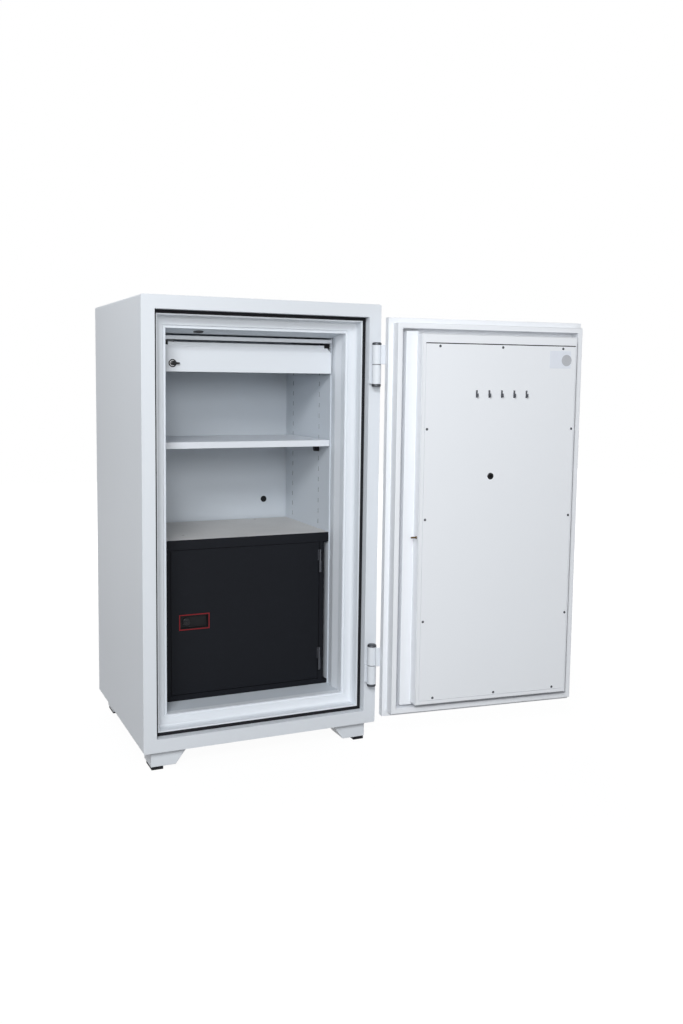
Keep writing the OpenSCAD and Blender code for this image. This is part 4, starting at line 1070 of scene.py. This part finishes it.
class SAFE_OT_locks(Piece, bpy.types.Operator):
    """Lever handle, combination dial with its ring, key lock and the round-ended lock bolts"""
    bl_idname = "safe.locks"
    bl_label = "Handle, dial and bolts"

    def build(self):
        self.make_handle()
        self.make_dial()
        self.make_key_lock()
        bolt = [(0, 57), (7.6, 57), (9.2, 57.7), (10, 59.4), (10, 125), (6, 125), (6, 132.4), (5.4, 133),
                (0, 133)]
        bolts = [turned("bolt", "x", (0, BOLT_Y, z), bolt, self.sizes.lathe_steps) for z in BOLT_Z]
        on_door(join("bolt_set", *bolts), "bright_steel", "lock_bolts", body="bolt_work")

    def make_handle(self):
        """Rose, hub and lever, which is drawn out level and then turned down."""
        steps = self.sizes.lathe_steps
        centre = (LOCK_X, 0, HANDLE_Z)
        rose = turned("handle_rose_plate", "y", centre, [
            (8.1, 0), (8.1, -6), (24, -6), (28.5, -4.6), (30, -2.2), (30, -0.02), (8.1, 0)], steps)
        on_door(rose, "bright_steel", "handle_rose")
        hub = turned("hub", "y", centre, [
            (0, 47), (7.4, 47), (8, 46.4), (8, -7), (13.5, -7), (15, -8.6), (15, -44), (13.6, -45.6),
            (11, -46), (0, -46)], steps)
        lever_y, tip = -39, LOCK_X + 105
        lever = block("lever", LOCK_X, tip, lever_y - 6, lever_y + 6, HANDLE_Z - 9, HANDLE_Z + 9)
        edit(lever, facing("x"))
        for reach, factors in ((0, (1, 0.8, 0.75)), (8, (1, 0.7, 0.65)), (2, (1, 0.5, 0.5))):
            if reach:
                push(x=reach)
            tip += reach
            bpy.ops.transform.resize(value=factors, center_override=at(tip, lever_y, HANDLE_Z))
        done()
        modifier(lever, "BEVEL", width=0.0035, segments=3, limit_method="ANGLE", angle_limit=math.radians(50))
        rotate(lever, "Y", math.radians(60), at(LOCK_X, lever_y, HANDLE_Z))
        on_door(join("lever_handle_piece", hub, lever), "bright_steel", "door_handle", body="lever_handle")

    def make_dial(self):
        """Combination dial with a knurled grip and plain ticks, in its ring with one mark."""
        centre, steps = (LOCK_X, 0, DIAL_Z), 96
        ring = turned("dial_ring_plate", "y", centre, [
            (5, -0.02), (5, -2), (32, -2), (33, -4.6), (36, -6), (45, -6), (47.4, -4.4), (48, -2),
            (48, -0.02), (5, -0.02)], steps)
        mark = block("mark", LOCK_X - 0.6, LOCK_X + 0.6, -6.4, -5.8, DIAL_Z + 41, DIAL_Z + 45)
        on_door(join("ring", ring, mark), "bright_steel", "dial_ring")

        dial = turned("dial_wheel", "y", centre, [
            (0, 68), (4, 68), (4, -6.5), (39.4, -6.5), (40, -7.2), (40, -10.8), (39, -12), (27, -12.2),
            (26, -13.5), (26, -32), (24.4, -33.8), (20, -34), (0, -33.2)], steps)
        turn = lambda c: math.degrees(math.atan2(c.z - DIAL_Z, c.x - LOCK_X)) * steps / 360
        edit(dial, lambda c, n: abs(n.y) < 0.2 and -32 < c.y < -13.6 and round(turn(c) + 0.5) % 2 == 0)
        inset(0.25)
        inset(0.1, -0.8)
        done()
        on_door(dial, "black_plastic", "combination_dial", body="dial", look="knob_black")

        count, rim_z = 50, DIAL_Z + 38.4
        ticks = []
        for i in range(count):
            length = 3 if i % 5 else 5
            tick = block("tick", LOCK_X - 0.25, LOCK_X + 0.25, -12.35, -11.9, rim_z - length, rim_z)
            ticks.append(rotate(tick, "Y", 2 * math.pi * i / count, at(LOCK_X, -12, DIAL_Z)))
        on_door(join("dial_ticks", *ticks), "white_paint", body="dial", look="tick_white")

    def make_key_lock(self):
        """Key lock with its plug, keyway and cam."""
        steps = self.sizes.lathe_steps
        centre = (LOCK_X, 0, KEY_Z)
        lock = turned("key_lock_ring", "y", centre, [
            (8.1, -5), (16.5, -5), (18.4, -4), (19, -2.4), (19, -0.02), (14, -0.02), (14, 44), (8.1, 44),
            (8.1, -5)], steps)
        on_door(lock, "bright_steel", "key_lock_body")
        plug = turned("plug", "y", centre, [(0, 50), (8, 50), (8, -4.4), (7.4, -5), (0, -5)], steps)
        cut(plug, block("keyway", LOCK_X - 1, LOCK_X + 1, -8, 12, KEY_Z - 5, KEY_Z + 5))
        cam = soften(block("cam", LOCK_X - 7, LOCK_X + 30, 45, 49, KEY_Z - 7, KEY_Z + 7), 0.5, 2)
        on_door(join("key_plug_piece", plug, cam), "brass", "key_plug", body="door_key_plug")


class SAFE_OT_finishes(Piece, bpy.types.Operator):
    """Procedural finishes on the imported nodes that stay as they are"""
    bl_idname = "safe.finishes"
    bl_label = "Finishes of packed nodes"

    looks = {
        # Painted shade: the racks and drawer box take the liner's darker copy of the white paint.
        "liner_paint": "right_rack_panel left_rack_panel drawer_box",
        "charcoal_paint": "cabinet_door_lining",
        "fire_fill": "body_insulation door_insulation",
        "dark_chrome": "cabinet_frame_knuckles cabinet_door_knuckles",
        "brass": "wheel_pack",
        "bare_steel": "strike_pockets drawer_runners drawer_slides drawer_lock_cam cabinet_hinge_pins "
                      "cabinet_bolt bolt_guides lock_case bolt_bar handle_cam",
    }

    def build(self):
        look_of = {name: look for look, names in self.looks.items() for name in names.split()}
        for name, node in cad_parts.items():
            for slot in node.material_slots:
                slot.material = FINISHES[look_of.get(name, "white_paint")]


# Studio, in metres

class SAFE_OT_stage(Piece, bpy.types.Operator):
    """Pale floor, lamps, even world light and the camera at the photograph's viewpoint"""
    bl_idname = "safe.stage"
    bl_label = "Studio"

    def build(self):
        scene = bpy.context.scene
        scene.view_settings.view_transform = "Standard"
        self.make_sky(scene)
        self.make_floor()
        sizes = self.sizes
        for name, spot, aim, size, power in (
                ("high_lamp", (-2.45, -4.25, 3.3), (0.1, 0, 0.8), (1.6, 1.2), sizes.key_light),
                ("near_lamp", (-0.9, -2.6, 1.45), (0.2, 0, 0.85), (0.5, 0.5), sizes.near_light),
                ("side_lamp", (-1.05, -0.2, 1.95), (-0.34, 0.0, 1.05), (0.5, 0.5), sizes.side_light),
                ("rear_lamp", (2.0, 3.8, 2.2), (0.2, 0, 0.7), (1.6, 1.2), sizes.rear_light)):
            self.make_lamp(name, spot, aim, size, power)
        self.make_camera(scene)

    def make_sky(self, scene):
        """World light, strongest from the front left and cooler from above, and white to the eye."""
        scene.world = bpy.data.worlds.new("studio")
        sky = Tree(scene.world)
        sizes = self.sizes
        way = sky.nodes.new("ShaderNodeTexCoord").outputs["Generated"]
        split = sky.nodes.new("ShaderNodeSeparateXYZ")
        sky.links.new(way, split.inputs[0])
        right, back, up = [Value(sky, split.outputs[axis]) for axis in "XYZ"]
        warm, cool = (1.0, 0.93, 0.83, 1), (0.92, 0.95, 1.0, 1)
        soft = sky.nodes["Background"]
        sky.join(soft.inputs["Color"], sky.mix(up * 0.6 - right * 0.6 + 0.5, warm, cool))
        sky.join(soft.inputs["Strength"],
                 back * back * (0.78 - back * 0.22) * (0.95 - right * 0.85) * sizes.front_sky + sizes.ambient)
        sky.white_to_eye(soft, "World Output", "ShaderNodeBackground", 1.0)

    def make_floor(self):
        """Grey floor that the eye sees mostly white, with a fifth of its shading near the object."""
        deselect()
        width, fade_at, fade, shading = 14, 2.2, 1.1, 0.2
        bpy.ops.mesh.primitive_plane_add(size=width, location=(0, 0, CAD_BOX[0][2]))
        floor = place(bpy.context.object, "studio_floor")
        ground = Finish("studio_floor")
        ground.set(Base_Color=ground.mix(ground.noise(3), (0.27, 0.27, 0.27, 1), (0.29, 0.29, 0.29, 1)),
                   Roughness=0.9)
        far = ground.add("ShaderNodeVectorMath", {"operation": "LENGTH"}, ground.coords)
        ground.white_to_eye(ground.shader, "Material Output", "ShaderNodeEmission",
                            far.above(fade_at, fade) * shading + (1 - shading), 1.2)
        floor.data.materials.append(ground.mat)

    def make_lamp(self, name, spot, aim, size, power):
        data = bpy.data.lights.new(name, "AREA")
        data.shape = "RECTANGLE"
        data.size, data.size_y = size
        data.energy = power
        data.color = (0.95, 0.98, 1.0)
        lamp = bpy.data.objects.new(name, data)
        bpy.context.scene.collection.objects.link(lamp)
        lamp.location = spot
        lamp.rotation_euler = (Vector(aim) - Vector(spot)).to_track_quat("-Z", "Y").to_euler()
        lamp.visible_camera = False

    def make_camera(self, scene):
        """Camera solved from straight edges of the photograph."""
        picture_w, picture_h = 683, 1024
        centre_x, centre_y = 328.417, 477.576       # pixel on the lens axis
        yaw, pitch, roll = -0.422055, -0.099136, 0.0120985
        eye = Vector((-0.9330, -2.7809, 1.0442))
        data = bpy.data.cameras.new("photo_view")
        data.sensor_fit = "VERTICAL"
        data.sensor_height = 36.0
        data.lens = self.sizes.focal_length
        data.shift_x = (picture_w / 2 - centre_x) / picture_h
        data.shift_y = (centre_y - picture_h / 2) / picture_h
        data.clip_start, data.clip_end = 0.05, 60
        camera = bpy.data.objects.new("photo_view", data)
        scene.collection.objects.link(camera)
        scene.camera = camera
        look = Vector((math.sin(-yaw) * math.cos(pitch), math.cos(yaw) * math.cos(pitch), math.sin(pitch)))
        side = look.cross(Vector((0, 0, 1))).normalized()
        rise = side.cross(look)
        right = side * math.cos(roll) + rise * math.sin(roll)
        up = rise * math.cos(roll) - side * math.sin(roll)
        turn = Matrix((right, up, -look)).transposed().to_4x4()
        camera.matrix_world = Matrix.Translation(eye) @ turn


PIECES = (SAFE_OT_stage, SAFE_OT_casing, SAFE_OT_jamb, SAFE_OT_liner, SAFE_OT_feet, SAFE_OT_hinges,
          SAFE_OT_shelf, SAFE_OT_drawer, SAFE_OT_cabinet, SAFE_OT_door, SAFE_OT_door_fittings, SAFE_OT_locks,
          SAFE_OT_finishes)


class SAFE_PT_panel(bpy.types.Panel):
    """Sizes, colours and pieces of the safe"""
    bl_idname = "SAFE_PT_panel"
    bl_label = "Fireproof safe"
    bl_space_type = "VIEW_3D"
    bl_region_type = "UI"
    bl_category = "Safe"

    def draw(self, context):
        for group in (context.scene.safe_sizes, context.scene.safe_colours):
            box = self.layout.box()
            for key in group.__annotations__:
                box.prop(group, key)
        for piece in PIECES:
            self.layout.operator(piece.bl_idname)


CLASSES = (SafeSizes, SafeColours) + PIECES + (SAFE_PT_panel,)


def register():
    for cls in CLASSES:
        bpy.utils.register_class(cls)
    bpy.types.Scene.safe_sizes = PointerProperty(type=SafeSizes)
    bpy.types.Scene.safe_colours = PointerProperty(type=SafeColours)


def unregister():
    del bpy.types.Scene.safe_colours
    del bpy.types.Scene.safe_sizes
    for cls in reversed(CLASSES):
        bpy.utils.unregister_class(cls)


def main():
    register()
    make_finishes(bpy.context.scene.safe_colours)
    for piece in PIECES:
        group, name = piece.bl_idname.split(".")
        getattr(getattr(bpy.ops, group), name)()


if __name__ == "__main__":
    main()
